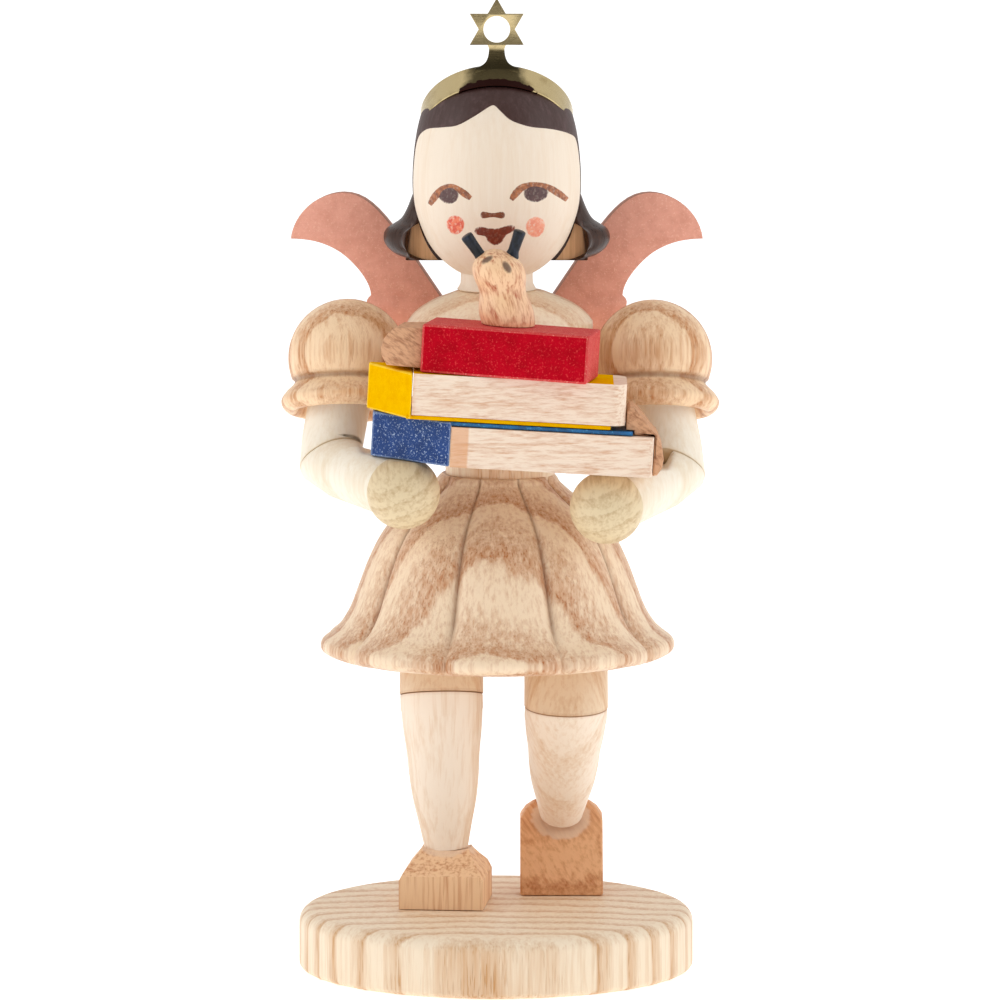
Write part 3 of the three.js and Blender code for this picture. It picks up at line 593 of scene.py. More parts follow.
def make_skirt():
    centre = middle("skirt")
    count = PANELS * PANEL_STEPS
    rings, stain = [], []
    for outer, table in ((True, flow(SKIRT_RINGS, 5)), (False, SKIRT_INSIDE)):
        for height, radius, dip in table:
            ring = []
            for i in range(count):
                across = abs((i % PANEL_STEPS) / PANEL_STEPS * 2 - 1)
                a = PANEL_TURN + 2 * math.pi * i / count
                valley = 0.62 * across ** 2.2 + 0.38 * smoothstep(0.86, 1.0, across)
                r = radius - dip * valley
                lift = HEM_LIFT * smoothstep(23.2, 21.6, height) * (1 - across ** 2) if outer else 0.0
                ring.append(Vector((centre.x + r * math.sin(a), centre.y - r * math.cos(a), height + lift)))
                # Painted shade: the creases darken, more towards the waist.
                line = smoothstep(0.9, 0.99, across) * smoothstep(22.2, 24.5, height)
                stain.append(0.7 * line if outer else 0.0)
            rings.append(ring)
    piece("skirt_turned", rings, M_SKIRT, "skirt", "ash", crease=40, stain=stain)


# ---- torso, neck and head ----
TORSO_SIDE = [(32.2, 3.72), (33.7, 3.72), (34.6, 3.8), (36.2, 4.15), (38.2, 4.85), (40.2, 5.6),
              (41.8, 6.05), (43.2, 6.28), (43.9, 6.3)]
TORSO_TOP = [(44.25, 6.05), (44.8, 5.45), (45.35, 4.5), (45.75, 3.5), (46.0, 2.75), (46.08, 1.6),
             (46.1, 0.2)]
NECK_PROFILE = [(43.8, 1.3), (46.05, 1.3), (46.05, 2.6), (46.12, 2.7), (46.25, 2.6), (46.5, 2.47),
                (46.8, 2.45), (48.6, 2.45)]
WING_SWEEP = math.radians(10)
WING_FLAT_Y = 8.0
CHEST_X = 0.28
BODY_X = 0.05
BODY_Y = 3.0
BODY_AXIS = Vector((BODY_X, BODY_Y, 0))


def wing_plane(sign):
    """A point and the outward normal of the flat that a wing is glued to."""
    outward = Vector((-sign * math.sin(WING_SWEEP), math.cos(WING_SWEEP), 0))
    return Vector((BODY_X, WING_FLAT_Y, 40)), outward


def make_torso():
    rings = turned_rings(flow(TORSO_SIDE, 4) + flow(TORSO_TOP, 4), Vector((CHEST_X, BODY_Y, 0)))
    for sign in (-1, 1):
        rings = below_plane(rings, *wing_plane(sign))
    piece("torso_turned", rings, M_TORSO, "torso", "ash", crease=50)
    rings = turned_rings(NECK_PROFILE, BODY_AXIS, around=SMALL)
    piece("neck_turned", rings, M_FACE, "neck", "face_maple", crease=50)


HEAD_PROFILE = flow([
    (47.0, 1.6), (47.15, 2.3), (47.6, 3.1), (48.4, 4.0), (49.3, 4.65), (50.4, 5.15), (51.6, 5.52),
    (52.8, 5.66), (54.2, 5.66), (55.8, 5.53), (57.2, 5.3), (58.4, 4.93), (59.4, 4.33), (60.15, 3.6),
    (60.75, 2.65), (61.1, 1.5), (61.2, 0.1),
], 8)
HEAD_TOP = HEAD_PROFILE[-1][0]
PAINT_DEPTH = 0.08  # how far a film of paint reaches into the head


def on_head(turn, height, lift=0.0):
    """A point of the head's skin: turn in radians from the front towards +X, lifted square to the skin."""
    radius = between(HEAD_PROFILE, height)
    step = 0.02
    slope = (between(HEAD_PROFILE, height + step) - between(HEAD_PROFILE, height - step)) / (2 * step)
    out = Vector((1, -slope)).normalized()
    r = radius + lift * out.x
    return Vector((BODY_X + r * math.sin(turn), BODY_Y - r * math.cos(turn), height + lift * out.y))


def on_face(x, z, lift=0.0):
    radius = between(HEAD_PROFILE, z)
    return on_head(math.asin((x - BODY_X) / radius), z, lift)


def make_head():
    rings = turned_rings(HEAD_PROFILE, BODY_AXIS, around=192)
    piece("head_turned", rings, M_FACE, "head", "face_maple", crease=60)


HAIRLINE = flow([  # degrees from the front, height of the painted edge
    (-180, 47.5), (-110, 47.6), (-97, 48.6), (-90, 51.5), (-86, 54.6), (-80, 56.3), (-64, 57.15),
    (-45, 57.42), (-31, 57.62), (-18, 58.24), (-9, 58.75), (-2.7, 59.0), (3, 58.62), (10, 58.06),
    (19, 57.72), (28, 57.51), (45, 57.3), (67, 56.83), (80, 56.3), (86, 54.8), (90, 51.5), (97, 48.6),
    (110, 47.6), (180, 47.5),
], 4)


def make_hair():
    """The painted cap of hair: a thin closed layer over the head down to the painted hairline."""
    around, rows = 288, 40
    rings = []
    layers = [(1 - j / rows, -PAINT_DEPTH) for j in range(rows + 1)]
    layers += [(0.0, 0.0), (0.006, 0.03), (0.015, 0.045)]
    layers += [(j / rows, 0.05) for j in range(1, rows + 1)]
    for share, lift in layers:
        ring = []
        for i in range(around):
            turn = -180 + 360 * i / around
            edge = between(HAIRLINE, turn)
            height = edge + (HEAD_TOP - 0.02 - edge) * (1 - (1 - share) ** 1.6)
            ring.append(on_head(math.radians(turn), height, lift))
        rings.append(ring)
    piece("hair_cap", rings, M_HAIR, slot="hair", crease=50)


def film_lift(rim):
    """Height of a film of paint over the skin: it sinks in at its rim."""
    return -0.01 + 0.035 * min(1.0, 3 * rim)


def film(name, rows, look):
    """A film of paint on the face from rows of (x, z, inside); inside is 0 at the rim, 1 in the middle."""
    rings, inside = [], []
    for row in rows:
        top = [on_face(x, z, film_lift(rim)) for x, z, rim in row]
        under = [on_face(x, z, -PAINT_DEPTH) for x, z, _ in reversed(row)]
        rings.append(top + under)
        inside += [rim for _, _, rim in row] + [rim for _, _, rim in reversed(row)]
    piece(name, rings, look, crease=80, inside=inside)


def stroke(name, line, look, across=9):
    """One brush stroke: line is (x, z, half width) along its length."""
    path = flow(line, 8)
    rows = []
    for i, (x, z, half) in enumerate(path):
        ahead, behind = path[min(i + 1, len(path) - 1)], path[max(i - 1, 0)]
        along = Vector((ahead[0] - behind[0], ahead[1] - behind[1])).normalized()
        end = min(i, len(path) - 1 - i) / 6
        row = []
        for k in range(across):
            s = k / (across - 1) * 2 - 1
            row.append((x - along.y * half * s, z + along.x * half * s, min(1 - abs(s), end)))
        rows.append(row)
    film(name, rows, look)


def blob(name, centre, outline, look, across=40):
    """A filled patch of paint: outline(turn) gives its reach in x and z from the centre."""
    rings, inside = [], []
    steps = [0.03, 0.25, 0.5, 0.7, 0.85, 0.94, 1.0]
    layers = [(s, -PAINT_DEPTH) for s in steps] + [(s, film_lift(1 - s)) for s in reversed(steps)]
    for share, lift in layers:
        ring = []
        for i in range(across):
            dx, dz = outline(2 * math.pi * i / across)
            ring.append(on_face(centre[0] + dx * share, centre[1] + dz * share, lift))
            inside.append(1 - share)
        rings.append(ring)
    piece(name, rings, look, crease=80, inside=inside)


def closed_outline(points):
    """A smooth closed outline through (x, z) offsets from a centre, as a function of the turn."""
    line = flow([*points[-1:], *points, *points[:2]], 8)[8:-8]
    return lambda turn: line[int(round(turn / (2 * math.pi) * (len(line) - 1))) % len(line)]


def oval(wide, high):
    return lambda turn: (wide * math.cos(turn), high * math.sin(turn))


def nose_outline(turn):
    """Two round lobes with a narrower middle."""
    return 0.92 * math.cos(turn), (0.16 + 0.42 * math.cos(turn) ** 2) * math.sin(turn)


def cheek_outline(radius):
    """A spot that is a little narrow and not quite round."""
    return lambda turn: (
        radius * 0.9 * math.cos(turn) * (1 + 0.04 * math.sin(3 * turn)),
        radius * math.sin(turn),
    )


LID_R = [(-4.5, 52.12, 0.16), (-4.15, 52.7, 0.27), (-3.65, 53.3, 0.22), (-3.1, 53.54, 0.18),
         (-2.66, 53.44, 0.2), (-2.15, 53.1, 0.27), (-1.68, 52.76, 0.18)]
LID_L = [(1.0, 52.68, 0.17), (1.3, 53.08, 0.28), (1.75, 53.5, 0.27), (2.5, 53.68, 0.2),
         (3.4, 53.48, 0.23), (4.15, 53.02, 0.26), (4.85, 52.42, 0.18)]
MOUTH = [(1.52, 0.54), (1.3, 0.74), (0.72, 0.64), (0.16, 0.48), (-0.45, 0.5), (-1.15, 0.6),
         (-1.52, 0.36), (-1.38, 0.0), (-0.72, -0.16), (-0.5, -0.56), (0.0, -0.84), (0.52, -0.6),
         (0.84, -0.06), (1.36, 0.22)]


def make_face():
    stroke("lid_r", LID_R, M_LID)
    stroke("lid_l", LID_L, M_LID)
    blob("iris_r", (-3.21, 52.98), oval(0.76, 0.72), M_IRIS)
    blob("iris_l", (2.7, 53.12), oval(0.93, 0.7), M_IRIS)
    blob("nose", (-0.22, 51.66), nose_outline, M_NOSE)
    blob("mouth", (-0.08, 50.3), closed_outline(MOUTH), M_MOUTH, 96)
    blob("cheek_r", (-2.74, 50.9), cheek_outline(0.74), M_CHEEK_R)
    blob("cheek_l", (2.66, 50.76), cheek_outline(0.8), M_CHEEK_L)


# ---- hair flip ----
FLIP_Y = 5.45
FLIP_DEPTH = 0.51  # depth as a share of the width
FLIP_CUT_Y = 3.35
FLIP_EDGE_X = 5.76  # where the rolled lip ends and the bare cut begins, at FLIP_EDGE_Z
FLIP_EDGE_Z = 51.0
FLIP_EDGE_SLOPE = 0.15
FLIP_ROLL = 0.5
FLIP_STEP = 0.12
FLIP_LIP_POINTS = 8
FLIP_CUT_POINTS = 4
FLIP_PROFILE = flow([(52.3, 5.75), (51.4, 6.1), (50.7, 6.5), (50.3, 7.05), (50.0, 7.5), (49.6, 7.7),
                     (49.1, 7.68), (48.6, 7.35), (48.2, 6.8), (48.0, 6.2)], 5)


def around_arc(centre_y, wide, deep, start, end, count, height):
    """Points on part of an ellipse round the body's axis, between two angles in radians."""
    points = []
    for i in range(count):
        a = start + (end - start) * i / (count - 1)
        points.append(Vector((BODY_X + wide * math.cos(a), centre_y + deep * math.sin(a), height)))
    return points


def flip_front(corner_x, edge_x, head_x, reach):
    """The front of the flip on the +X side, from outside to the head, as (x, y, stain)."""
    points = []
    for k in range(1, FLIP_LIP_POINTS + 1):
        t = k / FLIP_LIP_POINTS
        roll = FLIP_ROLL * min(1.0, reach - edge_x) * math.sin(math.pi * t)
        points.append((corner_x + (edge_x - corner_x) * t, FLIP_CUT_Y - roll, 0.0))
    cut_x = edge_x - 0.03
    points.append((cut_x, FLIP_CUT_Y + FLIP_STEP, 1.0))
    for k in range(FLIP_CUT_POINTS):
        t = (k + 0.4) / FLIP_CUT_POINTS
        points.append((cut_x + (head_x - cut_x) * t, FLIP_CUT_Y + FLIP_STEP, 0.0 if k else 0.3))
    return points


def make_flip():
    """A flared collar of hair round the back of the head; in front a rolled lip and a bare flat cut."""
    rings, stain = [], []
    for height, reach in FLIP_PROFILE:
        depth = reach * FLIP_DEPTH
        start = math.asin(max(-1.0, (FLIP_CUT_Y - FLIP_Y) / depth))
        outside = around_arc(FLIP_Y, reach, depth, start, math.pi - start, 90, height)
        head = max(between(HEAD_PROFILE, height) + 0.02, 2.9)
        cut = math.asin((FLIP_CUT_Y - BODY_Y) / head)
        inside = around_arc(BODY_Y, head, head, math.pi - cut, cut, 60, height)
        edge_x = FLIP_EDGE_X + FLIP_EDGE_SLOPE * (FLIP_EDGE_Z - height)
        edge_x = min(max(edge_x, head + 0.02), reach - 0.1)
        front = flip_front(outside[0].x - BODY_X, edge_x, head * math.cos(cut), reach)
        left = [Vector((BODY_X - x, y, height)) for x, y, _ in front]
        right = [Vector((BODY_X + x, y, height)) for x, y, _ in reversed(front)]
        rings.append(outside + left + inside + right)
        marks = [mark for _, _, mark in front]
        stain += [0.0] * len(outside) + marks + [0.0] * len(inside) + marks[::-1]
    collar = piece("hair_collar", rings, [M_FLIP, M_FACET], "hair_flip", "hair", crease=35,
                   stain=stain)
    limit = (FLIP_CUT_Y + FLIP_STEP - 0.01) * MM
    for face in collar.data.polygons:
        face.material_index = 1 if face.normal.y < -0.99 and face.center.y > limit else 0


# ---- crown ----
CROWN_R = 5.2
CROWN_T = 0.22
CROWN_W = 1.85
CROWN_EDGE = 0.05
CROWN_TILT = math.radians(46)
CROWN_CENTRE = Vector((BODY_X, 3.35, 57.2))
CROWN_HALF_TURN = 84.0
CROWN_STEPS = 160
STAR_R = 2.11
STAR_HOLE_R = 0.9
STAR_Z = 63.98
STAR_EDGE = 0.035
STEM_HALF = 0.525
STEM_FLARE = 0.95
STEM_BACK = 0.4
STEM_UP = 0.3


def flat_plate(loops, thickness, edge):
    """Vertices and faces of a plate cut from sheet: the first loop is its outline, the others holes."""
    sheet = bpy.data.curves.new("sheet", "CURVE")
    sheet.dimensions = "2D"
    sheet.fill_mode = "BOTH"
    sheet.extrude = thickness / 2 - edge
    sheet.bevel_depth = edge
    sheet.bevel_resolution = 1
    sheet.offset = -edge
    for loop in loops:
        spline = sheet.splines.new("POLY")
        spline.points.add(len(loop) - 1)
        for point, (x, y) in zip(spline.points, loop):
            point.co = (x, y, 0, 1)
        spline.use_cyclic_u = True
    holder = new_object("sheet", sheet)
    bpy.context.view_layer.update()
    mesh = bpy.data.meshes.new_from_object(holder)
    merged = bmesh.new()
    merged.from_mesh(mesh)
    bmesh.ops.remove_doubles(merged, verts=merged.verts, dist=0.002)
    merged.to_mesh(mesh)
    merged.free()
    verts = [v.co.copy() for v in mesh.vertices]
    faces = [tuple(p.vertices) for p in mesh.polygons]
    bpy.data.objects.remove(holder)
    bpy.data.curves.remove(sheet)
    bpy.data.meshes.remove(mesh)
    return verts, faces


def crown_section():
    """The strip's section as (outwards, across), finer across the outside."""
    half_t, half_w, edge = CROWN_T / 2, CROWN_W / 2, CROWN_EDGE
    section = [(half_t, -half_w + edge + (CROWN_W - 2 * edge) * k / 10) for k in range(11)]
    section += [(half_t - edge, half_w), (-half_t + edge, half_w), (-half_t, half_w - edge)]
    section += [(-half_t, -half_w + edge), (-half_t + edge, -half_w), (half_t - edge, -half_w)]
    return section


def star_outline(foot):
    """A six-pointed star on a stem that flares at its foot; x across, z up from the star's middle."""
    star = []
    for i in range(12):
        a = math.pi / 2 + i * math.pi / 6
        r = STAR_R / math.sqrt(3) if i % 2 else STAR_R
        star.append((r * math.cos(a), r * math.sin(a)))
    neck = -STAR_R / 2
    flare = flow([
        (STEM_HALF + 0.1, neck), (STEM_HALF, neck - 0.3), (STEM_HALF + 0.1, foot + 0.85),
        (STEM_HALF + 0.4 * STEM_FLARE, foot + 0.45), (STEM_HALF + STEM_FLARE, foot + 0.18),
    ], 5)
    heel = foot - 0.2
    outline = star[:6] + [(-x, z) for x, z in flare]
    outline += [(-STEM_HALF - STEM_FLARE, heel), (STEM_HALF + STEM_FLARE, heel)]
    return outline + flare[::-1] + star[7:]


def make_crown():
    """A brass strip bent over the hair, and the star on its flared stem at the front."""
    tilt = Matrix.Rotation(-CROWN_TILT, 3, "X")
    middle_r = CROWN_R - CROWN_T / 2
    half_w = CROWN_W / 2
    section = crown_section()
    rings, stain, paint = [], [], []
    for i in range(CROWN_STEPS + 1):
        turn = CROWN_HALF_TURN * (2 * i / CROWN_STEPS - 1)
        a = math.radians(turn - 90)
        spoke = Vector((math.cos(a), math.sin(a), 0))
        ring = [spoke * (middle_r + out) + UP * across for out, across in section]
        rings.append([CROWN_CENTRE + tilt @ p for p in ring])
        for _, across in section:
            # Painted reflection and shade: the strip darkens towards its front middle and, less, over its
            # lower half; ragged dark brown painted shade lies on its lower middle.
            stain.append(0.95 * smoothstep(34, 8, abs(turn + 1)) + 0.3 * smoothstep(0.0, -half_w, across))
            paint.append(smoothstep(52, 6, abs(turn)) * smoothstep(0.1, -half_w, across))
    piece("crown_strip", rings, M_BRASS, "crown", "brass", crease=30, stain=stain, paint=paint)

    front_y = CROWN_CENTRE.y - middle_r * math.cos(CROWN_TILT)
    front_z = CROWN_CENTRE.z + middle_r * math.sin(CROWN_TILT)
    hole = []
    for i in range(48):
        a = i * math.pi / 24
        hole.append((STAR_HOLE_R * math.cos(a), -STAR_HOLE_R * math.sin(a)))
    verts, faces = flat_plate([star_outline(front_z + STEM_UP - STAR_Z), hole], CROWN_T, STAR_EDGE)
    upright = [Vector((CROWN_CENTRE.x + v.x, front_y + STEM_BACK - v.z, STAR_Z + v.y)) for v in verts]
    # Painted reflection: the star darkens towards the foot of its stem.
    dark = [0.95 * smoothstep(STAR_Z - 1.0, STAR_Z - 1.7, p.z) for p in upright]
    piece("crown_star", (upright, faces), M_BRASS, "crown", "brass", crease=30, stain=dark,
          paint=[0.0] * len(dark))


# ---- wings ----
WING_T = 0.9
WING_EDGE = 0.07


def bezier(start, first, second, end, steps=12):
    points = []
    for i in range(1, steps + 1):
        t = i / steps
        points.append(tuple(
            (1 - t) ** 3 * a + 3 * (1 - t) ** 2 * t * b + 3 * (1 - t) * t * t * c + t ** 3 * d
            for a, b, c, d in zip(start, first, second, end)
        ))
    return points


def wing_outline():
    """The left wing in its own plane, x outwards from the spine."""
    line = [(0.15, 38.2), (2.9, 39.8)]
    for first, second, end in (
        ((5.6, 41.2), (7.6, 42.4), (8.75, 43.7)),
        ((9.25, 44.4), (9.15, 44.65), (8.8, 44.95)),
        ((8.8, 46.0), (10.25, 47.5), (11.15, 48.0)),
        ((12.15, 48.55), (13.05, 48.75), (14.4, 48.75)),
        ((14.2, 50.5), (12.55, 51.95), (10.8, 52.0)),
        ((8.6, 52.05), (7.4, 49.9), (3.9, 44.9)),
    ):
        line += bezier(line[-1], first, second, end)
    return [*line, (0.15, 42.6)]


def make_wing(side, sign):
    verts, faces = flat_plate([wing_outline()], WING_T, WING_EDGE)
    turn = Matrix.Rotation(sign * WING_SWEEP, 3, "Z")
    root = Vector((BODY_X, WING_FLAT_Y, 0))
    placed = [turn @ Vector((sign * v.x, WING_T / 2 + GLUE - sign * v.z, v.y)) + root for v in verts]
    wing = piece("wing_sawn_" + side, (placed, faces), [M_WING, M_WING_EDGE], "wing_" + side, "copper_wood",
                 crease=30)
    face_out = turn @ Vector((0, 1, 0))
    for face in wing.data.polygons:
        face.material_index = 0 if abs(face.normal.dot(face_out)) > 0.9 else 1


# ---- sleeves, arms and hands ----
PUFF_R = 4.05
PUFF_POINTS = 112
ARM_R = 2.1
WRIST_R = 1.95
HAND_R = 2.46
SLEEVE_UP = Vector((0.0, 0.276, 0.961))
CUFF = flow([(-1.4, 3.8), (-1.6, 3.6), (-1.78, 3.62), (-2.05, 3.85), (-2.4, 4.2), (-2.9, 4.5),
             (-3.35, 4.42), (-3.7, 4.08), (-3.75, 3.75), (-3.5, 3.5), (-3.1, 3.3), (-2.3, 2.75),
             (-1.9, 2.35)], 4)
CUFF_GROOVE = -1.62
STACK_ROLL = math.radians(3.2)
STACK_ORIGIN = Vector((0, -9.0, 35.2))
STACK_UP = Vector((math.sin(STACK_ROLL), 0, math.cos(STACK_ROLL)))
STACK_BELOW = STACK_ORIGIN - STACK_UP * GLUE
STACK_LEFT, STACK_RIGHT = -8.75, 11.4
STACK_MARGIN = 0.6
ELBOW_BEND = 0.6


def under_stack(x):
    """1 below the books, easing to 0 beside them."""
    left = smoothstep(STACK_LEFT - STACK_MARGIN, STACK_LEFT, x)
    return left * smoothstep(STACK_RIGHT + STACK_MARGIN, STACK_RIGHT, x)


def rounded_elbow(rings, elbow, up, fore):
    """Sands the outer corner of a bent arm to a round bend."""
    across = up.cross(fore).normalized()
    centre = elbow + (up + fore).normalized() * ELBOW_BEND / math.sin(up.angle(fore) / 2)

    def sanded(p):
        side = (p - centre).dot(across)
        flat = p - centre - across * side
        reach = ELBOW_BEND + math.sqrt(max(ARM_R ** 2 - side ** 2, 0.0))
        if flat.dot(up) < 0 and flat.dot(fore) < 0 and flat.length > reach:
            return centre + across * side + flat * reach / flat.length
        return p

    return [[sanded(p) for p in ring] for ring in rings]


def make_sleeve(side, shoulder):
    puff = [(h, r) for h, r in arc(0, 0, PUFF_R, 89.5, -22, 26) if h > CUFF[0][0] + 0.1]
    profile = [*puff, *CUFF, (-1.6, 2.2), (-1.6, 0.3)]
    stain = []
    for height, radius in profile:
        # Painted shade: the groove between puff and cuff is darkened.
        groove_shade = 0.7 * smoothstep(0.32, 0.05, abs(height - CUFF_GROOVE)) if radius > 3.4 else 0.0
        stain += [groove_shade] * PUFF_POINTS
    rings = turned_rings(profile, shoulder, SLEEVE_UP, PUFF_POINTS)
    piece("puff_" + side, rings, M_SLEEVE, "sleeve_" + side, "ash", crease=55, stain=stain)


def make_arm(side):
    sleeve_lo, sleeve_hi = box_mm("sleeve_" + side)
    shoulder = Vector(((sleeve_lo.x + sleeve_hi.x) / 2, sleeve_hi.y - PUFF_R, sleeve_hi.z - PUFF_R))
    upper_lo, upper_hi = box_mm("upper_arm_" + side)
    elbow_x = upper_lo.x + ARM_R if side == "r" else upper_hi.x - ARM_R
    elbow = Vector((elbow_x, box_mm("forearm_" + side)[1].y - ARM_R, upper_lo.z + ARM_R))
    hand = middle("hand_" + side)
    hand.z = box_mm("hand_" + side)[0].z + HAND_R
    make_sleeve(side, shoulder)

    up = (shoulder - elbow).normalized()
    fore = (hand - elbow).normalized()
    mitre = (up - fore).normalized()
    shares = [*(0.2 + 0.03 * i for i in range(12)), 0.7, 1.0]
    rings, stain = limb(elbow, shoulder + up * 0.2, [(t, ARM_R) for t in shares], mitre)
    rings = rounded_elbow(rings, elbow, up, fore)
    piece("arm_" + side, rings, M_ARM, "upper_arm_" + side, "arm_maple", stain=stain)

    shares = [0.2 + 0.02 * i for i in range(41)]
    rings, stain = limb(elbow, hand, [(t, ARM_R + (WRIST_R - ARM_R) * t) for t in shares], mitre)
    rings = rounded_elbow(rings, elbow, up, fore)
    pressed = below_plane(rings, STACK_BELOW, STACK_UP)
    rings = [[p.lerp(low, under_stack(p.x)) for p, low in zip(*pair)] for pair in zip(rings, pressed)]
    piece("wrist_" + side, rings, M_ARM, "forearm_" + side, "arm_maple", stain=stain)

    ball = turned_rings(arc(0, 0, HAND_R, -89, 89, 48), hand, fore, 96)
    ball = below_plane(ball, STACK_BELOW, STACK_UP)
    piece("hand_ball_" + side, ball, M_HAND_SHADED, "hand_" + side, "arm_maple", crease=50)


# ---- books ----
# x runs along the stack, y to its back, z up from its underside.
BOOK_D = 5.7
BOARD_T = 0.26
BOARD_IN = 0.25  # how far a board's front lies behind the pages
BLUE = {"name": "blue", "x0": -8.45, "corner": -3.15, "x1": 10.45, "skew": 3.9, "z0": 0.0, "z1": 3.0,
        "end": 9.0}
YELLOW = {"name": "yellow", "x0": -8.9, "corner": -5.9, "x1": 8.45, "skew": 5.1, "z0": 3.05, "z1": 6.15,
          "end": 7.5}
YELLOW_ROUND = 0.9
RED = {"x0": -5.45, "x1": 5.85, "z0": 6.2, "z1": 9.46, "depth": 4.9, "yaw": math.radians(-10), "front": 0.5}
FORE_EDGE = [(-0.05, 6.4), (-2.4, 6.45), (-2.75, 7.0), (-2.85, 7.6), (-2.7, 8.2), (-2.35, 8.65),
             (-2.0, 9.0), (-0.05, 9.15)]
END_REST = [(10.5, 0.05), (10.8, 0.12), (11.1, 0.6), (11.18, 1.2), (11.05, 1.9), (10.85, 2.4),
            (10.65, 2.8), (10.2, 3.25), (9.6, 4.0), (9.0, 4.55), (8.75, 4.6), (8.55, 4.3), (8.55, 3.05),
            (9.1, 3.05), (9.1, 2.75), (10.5, 2.75)]
TAIL = 1.15  # stained end of the blue book's pages
TAIL_SOFT = 0.06
STACK = Matrix.Translation(STACK_ORIGIN) @ Matrix.Rotation(STACK_ROLL, 4, "Y")
RED_PLACE = STACK @ Matrix.Translation((RED["x0"], RED["front"], 0)) @ Matrix.Rotation(RED["yaw"], 4, "Z")


def on_stack(p):
    return STACK @ p


def on_red(p):
    """Places a point in the red book's own axes, which start at its front left corner."""
    return RED_PLACE @ p


def make_cover(book, board_low, looks):
    """A spine with a skew end, and a thin board; looks are those of the spine, its edges and the board."""
    name = "book_" + book["name"]
    node = name + "_cover"
    corner, x0, front = book["corner"], book["x0"], BOARD_IN
    outline = [(corner, 0), (corner, BOOK_D), (x0, BOOK_D), (x0, book["skew"])]
    spine = prism(outline, book["z0"], book["z1"], on_stack)
    piece(name + "_spine", spine, looks[:2], node, name, edge=0.13)
    start, end = corner - 0.3, book["end"]
    outline = [(start, front), (end, front), (end, BOOK_D), (start, BOOK_D)]
    board = prism(outline, board_low, board_low + BOARD_T, on_stack)
    piece(name + "_board", board, looks[2], node, name, edge=0.05, edge_steps=2)


def page_block(book, sections, low, high, tail):
    """A block of pages from cross lines (x, inset from front and back); tail is its stained length."""
    rings, stain = [], []
    x0 = sections[0][0]
    for x, inset in sections:
        corners = ((inset, low), (BOOK_D - inset, low), (BOOK_D - inset, high), (inset, high))
        rings.append([on_stack(Vector((x, y, z))) for y, z in corners])
        stain += [0.75 * smoothstep(tail + TAIL_SOFT, tail - TAIL_SOFT, x - x0)] * 4
    name = "book_" + book["name"]
    return piece(name + "_block", rings, M_PAGES, name + "_pages", "pages", crease=25, stain=stain)


def bare_block(name, outline, front, back, node, place):
    """A block with softened edges from an XZ outline, from its front to its back."""
    verts, faces = flat_plate([outline], back - front, 0.12)
    placed = [place(Vector((v.x, (front + back) / 2 - v.z, v.y))) for v in verts]
    piece(name, (placed, faces), M_END, node, "end_grain", crease=30)


def make_blue_book():
    board_low = BLUE["z1"] - BOARD_T
    make_cover(BLUE, board_low, [M_BLUE, M_BLUE_EDGE, M_BOARD])
    start, end = BLUE["corner"] + GLUE, BLUE["x1"]
    lines = [(start + x, 0) for x in (0, TAIL - TAIL_SOFT, TAIL, TAIL + TAIL_SOFT)]
    lines += [(end - 0.35, 0), (end - 0.1, 0.1), (end, 0.35)]
    page_block(BLUE, lines, BLUE["z0"], board_low - GLUE, TAIL)


def make_yellow_book():
    """Its top is painted as far as its board reaches, and its far end is rounded."""
    make_cover(YELLOW, YELLOW["z0"], [M_YELLOW, M_YELLOW_EDGE, M_YELLOW])
    start, end, r = YELLOW["corner"] + GLUE, YELLOW["x1"], YELLOW_ROUND
    lines = [(start + x, 0) for x in (0, 0.3, 0.5)]
    for angle in range(0, 91, 15):
        a = math.radians(angle)
        lines.append((end - r + r * math.sin(a), r - r * math.cos(a)))
    block = page_block(YELLOW, lines, YELLOW["z0"] + BOARD_T + GLUE, YELLOW["z1"], 0.0)
    block.data.materials.append(M_YELLOW)
    painted_to = on_stack(Vector((YELLOW["end"], 0, YELLOW["z1"]))).x * MM
    for face in block.data.polygons:
        face.material_index = 1 if face.normal.z > 0.9 and face.center.x < painted_to else 0


def make_red_book():
    """A painted block whose end and top carry painted light, lighter than its front."""
    length, depth = RED["x1"] - RED["x0"], RED["depth"]
    outline = [(0, 0), (length, 0), (length, depth), (0, depth)]
    red = piece("book_red_block", prism(outline, RED["z0"], RED["z1"], on_red), [M_RED, M_RED_LIT],
                "book_red_cover", "book_red", edge=0.16)
    sideways = RED_PLACE.to_3x3() @ Vector((1, 0, 0))
    for face in red.data.polygons:
        face.material_index = 1 if face.normal.dot(sideways) > 0.9 or face.normal.z > 0.9 else 0
    bare_block("book_red_fore_edge", FORE_EDGE, 0.6, 4.6, "book_red_pages", on_red)


def make_books():
    make_blue_book()
    make_yellow_book()
    make_red_book()
    bare_block("book_end_rest", END_REST, 0.7, 4.9, "book_end_block", on_stack)


# ---- bookworm ----
WORM_PROFILE = flow([(0, 1.74), (0.35, 1.82), (1.0, 1.84), (1.7, 1.7), (2.15, 1.58), (2.6, 1.6),
                     (3.3, 1.76), (4.0, 1.7), (4.6, 1.32), (4.95, 0.8), (5.1, 0.4), (5.15, 0.1)], 6)
WORM_FOOT = Vector((0.58, -6.3, 44.6))
WORM_H = WORM_PROFILE[-1][0]
WORM_LEAN = -0.95
WORM_PIVOT = 0.3
WORM_EYES = ((-0.62, 4.55, 0.4, 0.16, 0.45), (0.62, 4.08, 0.27, 0.34, -0.5))  # x, height, half sizes, tilt
FEELERS = {"r": (Vector((-0.75, -6.3, 48.9)), Vector((-2.0, -6.6, 50.7))),
           "l": (Vector((1.0, -6.3, 49.1)), Vector((1.62, -6.6, 51.0)))}
FEELER_PROFILE = [  # share of the length, radius
    (-0.06, 0.3), (0.0, 0.46), (0.12, 0.48), (0.2, 0.42), (0.3, 0.37), (0.6, 0.38), (0.92, 0.42),
    (0.98, 0.4), (1.0, 0.34),
]


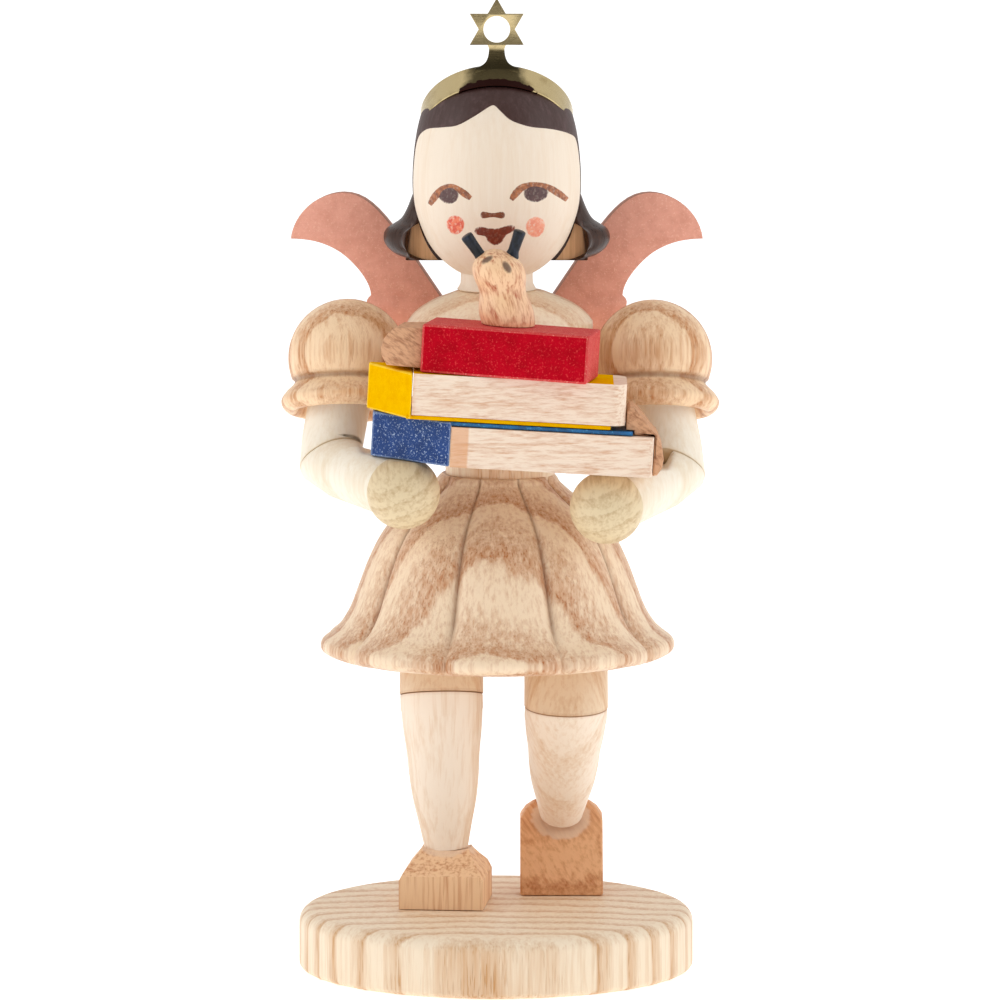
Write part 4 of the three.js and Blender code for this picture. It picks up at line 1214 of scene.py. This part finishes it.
def from_eyes(x, height):
    """Distance from the nearer eye's middle, where 1 is its rim."""
    nearest = math.inf
    for eye_x, eye_z, wide, high, tilt in WORM_EYES:
        dx = x - eye_x
        dz = height - eye_z - tilt * dx
        nearest = min(nearest, math.hypot(dx / wide, dz / high))
    return nearest


def make_worm():
    rings = turned_rings(WORM_PROFILE, WORM_FOOT, around=144)
    stain = []
    for ring in rings:
        height = ring[0].z - WORM_FOOT.z
        for p in ring:
            eye = smoothstep(1.25, 0.75, from_eyes(p.x - WORM_FOOT.x, height))
            stain.append(eye if p.y < WORM_FOOT.y else 0.0)
            p.x += WORM_LEAN * (height / WORM_H - WORM_PIVOT)
    rings = below_plane(rings, STACK_ORIGIN + STACK_UP * (RED["z1"] + GLUE), -STACK_UP)
    piece("worm", rings, M_WORM, "worm_body", "worm", crease=60, stain=stain)
    for side, (foot, tip) in FEELERS.items():
        rings, _ = limb(foot, tip, FEELER_PROFILE, around=36)
        piece("feeler_" + side, rings, M_FEELER, "worm_feeler_" + side, "feeler", crease=40)


# ---- the whole figure ----
make_base()
make_shoe("shoe_r", M_SHOE)
make_shoe("shoe_l", M_SHOE_TIP)
for pin in ("shoe_peg_r", "shoe_peg_l", "waist_dowel", "shoulder_dowel_r", "shoulder_dowel_l"):
    dress(pin, M_DOWEL)
for leg in ("r", "l"):
    make_leg(leg)
make_skirt()
make_torso()
make_head()
make_hair()
make_face()
make_flip()
make_crown()
for hand_side, out in (("r", -1), ("l", 1)):
    make_wing(hand_side, out)
    make_arm(hand_side)
make_books()
make_worm()


# ---- floor, light and camera ----
FLOOR_HALF = 3.0
LIGHT_AIM = Vector((0, 0, 0.033))


def make_floor():
    corners = [(x * FLOOR_HALF, y * FLOOR_HALF, 0) for x, y in ((-1, -1), (1, -1), (1, 1), (-1, 1))]
    mesh = bpy.data.meshes.new("floor")
    mesh.from_pydata(corners, [], [(0, 1, 2, 3)])
    look = Look("floor_white")
    mesh.materials.append(look.finish("f7f7f7", 0.9, Emission_Color="ffffff", Emission_Strength=0.5))
    new_object("floor", mesh)


def make_light(name, place, width, height, watts):
    data = bpy.data.lights.new(name, "AREA")
    data.shape = "RECTANGLE"
    data.size = width
    data.size_y = height
    data.energy = watts
    lamp = new_object(name, data)
    lamp.location = place
    lamp.rotation_euler = (LIGHT_AIM - Vector(place)).to_track_quat("-Z", "Y").to_euler()


def make_world():
    """White to the camera; to the object a white room whose front wall, behind the camera, is dim."""
    world = bpy.data.worlds.new("studio")
    room = Nodes(world)
    direction = room.add("ShaderNodeTexCoord", {}, {}).outputs["Generated"]
    from_front = room.split(direction)[1]
    walls = room.ramp(room.scaled(from_front, 0.5, 0.5), [(0.06, FRONT_WALL), (0.42, SIDE_WALL)])
    seen = room.add("ShaderNodeLightPath", {}, {}).outputs["Is Camera Ray"]
    colour = room.mix(seen, walls, (1, 1, 1, 1))
    light = room.add("ShaderNodeBackground", {}, {"Color": colour, "Strength": 1.0}).outputs[0]
    room.add("ShaderNodeOutputWorld", {}, {"Surface": light})
    bpy.context.scene.world = world


def make_camera():
    lift = math.radians(CAMERA_ELEVATION)
    data = bpy.data.cameras.new("camera")
    data.sensor_width = CAMERA_SENSOR
    data.lens = CAMERA_LENS
    data.clip_start = 0.01
    data.clip_end = 20
    camera = new_object("camera", data)
    away = Vector((0, -math.cos(lift), math.sin(lift))) * CAMERA_DISTANCE
    camera.location = (CAMERA_AIM + away) * MM
    camera.rotation_euler = (-away).to_track_quat("-Z", "Y").to_euler()
    bpy.context.scene.camera = camera


make_floor()
make_light("key_left", (-0.50, -0.24, 0.26), 0.35, 0.45, 0.75)
make_light("key_right", (0.50, -0.20, 0.22), 0.35, 0.45, 0.6)
make_world()
make_camera()
bpy.context.scene.view_settings.view_transform = "Standard"
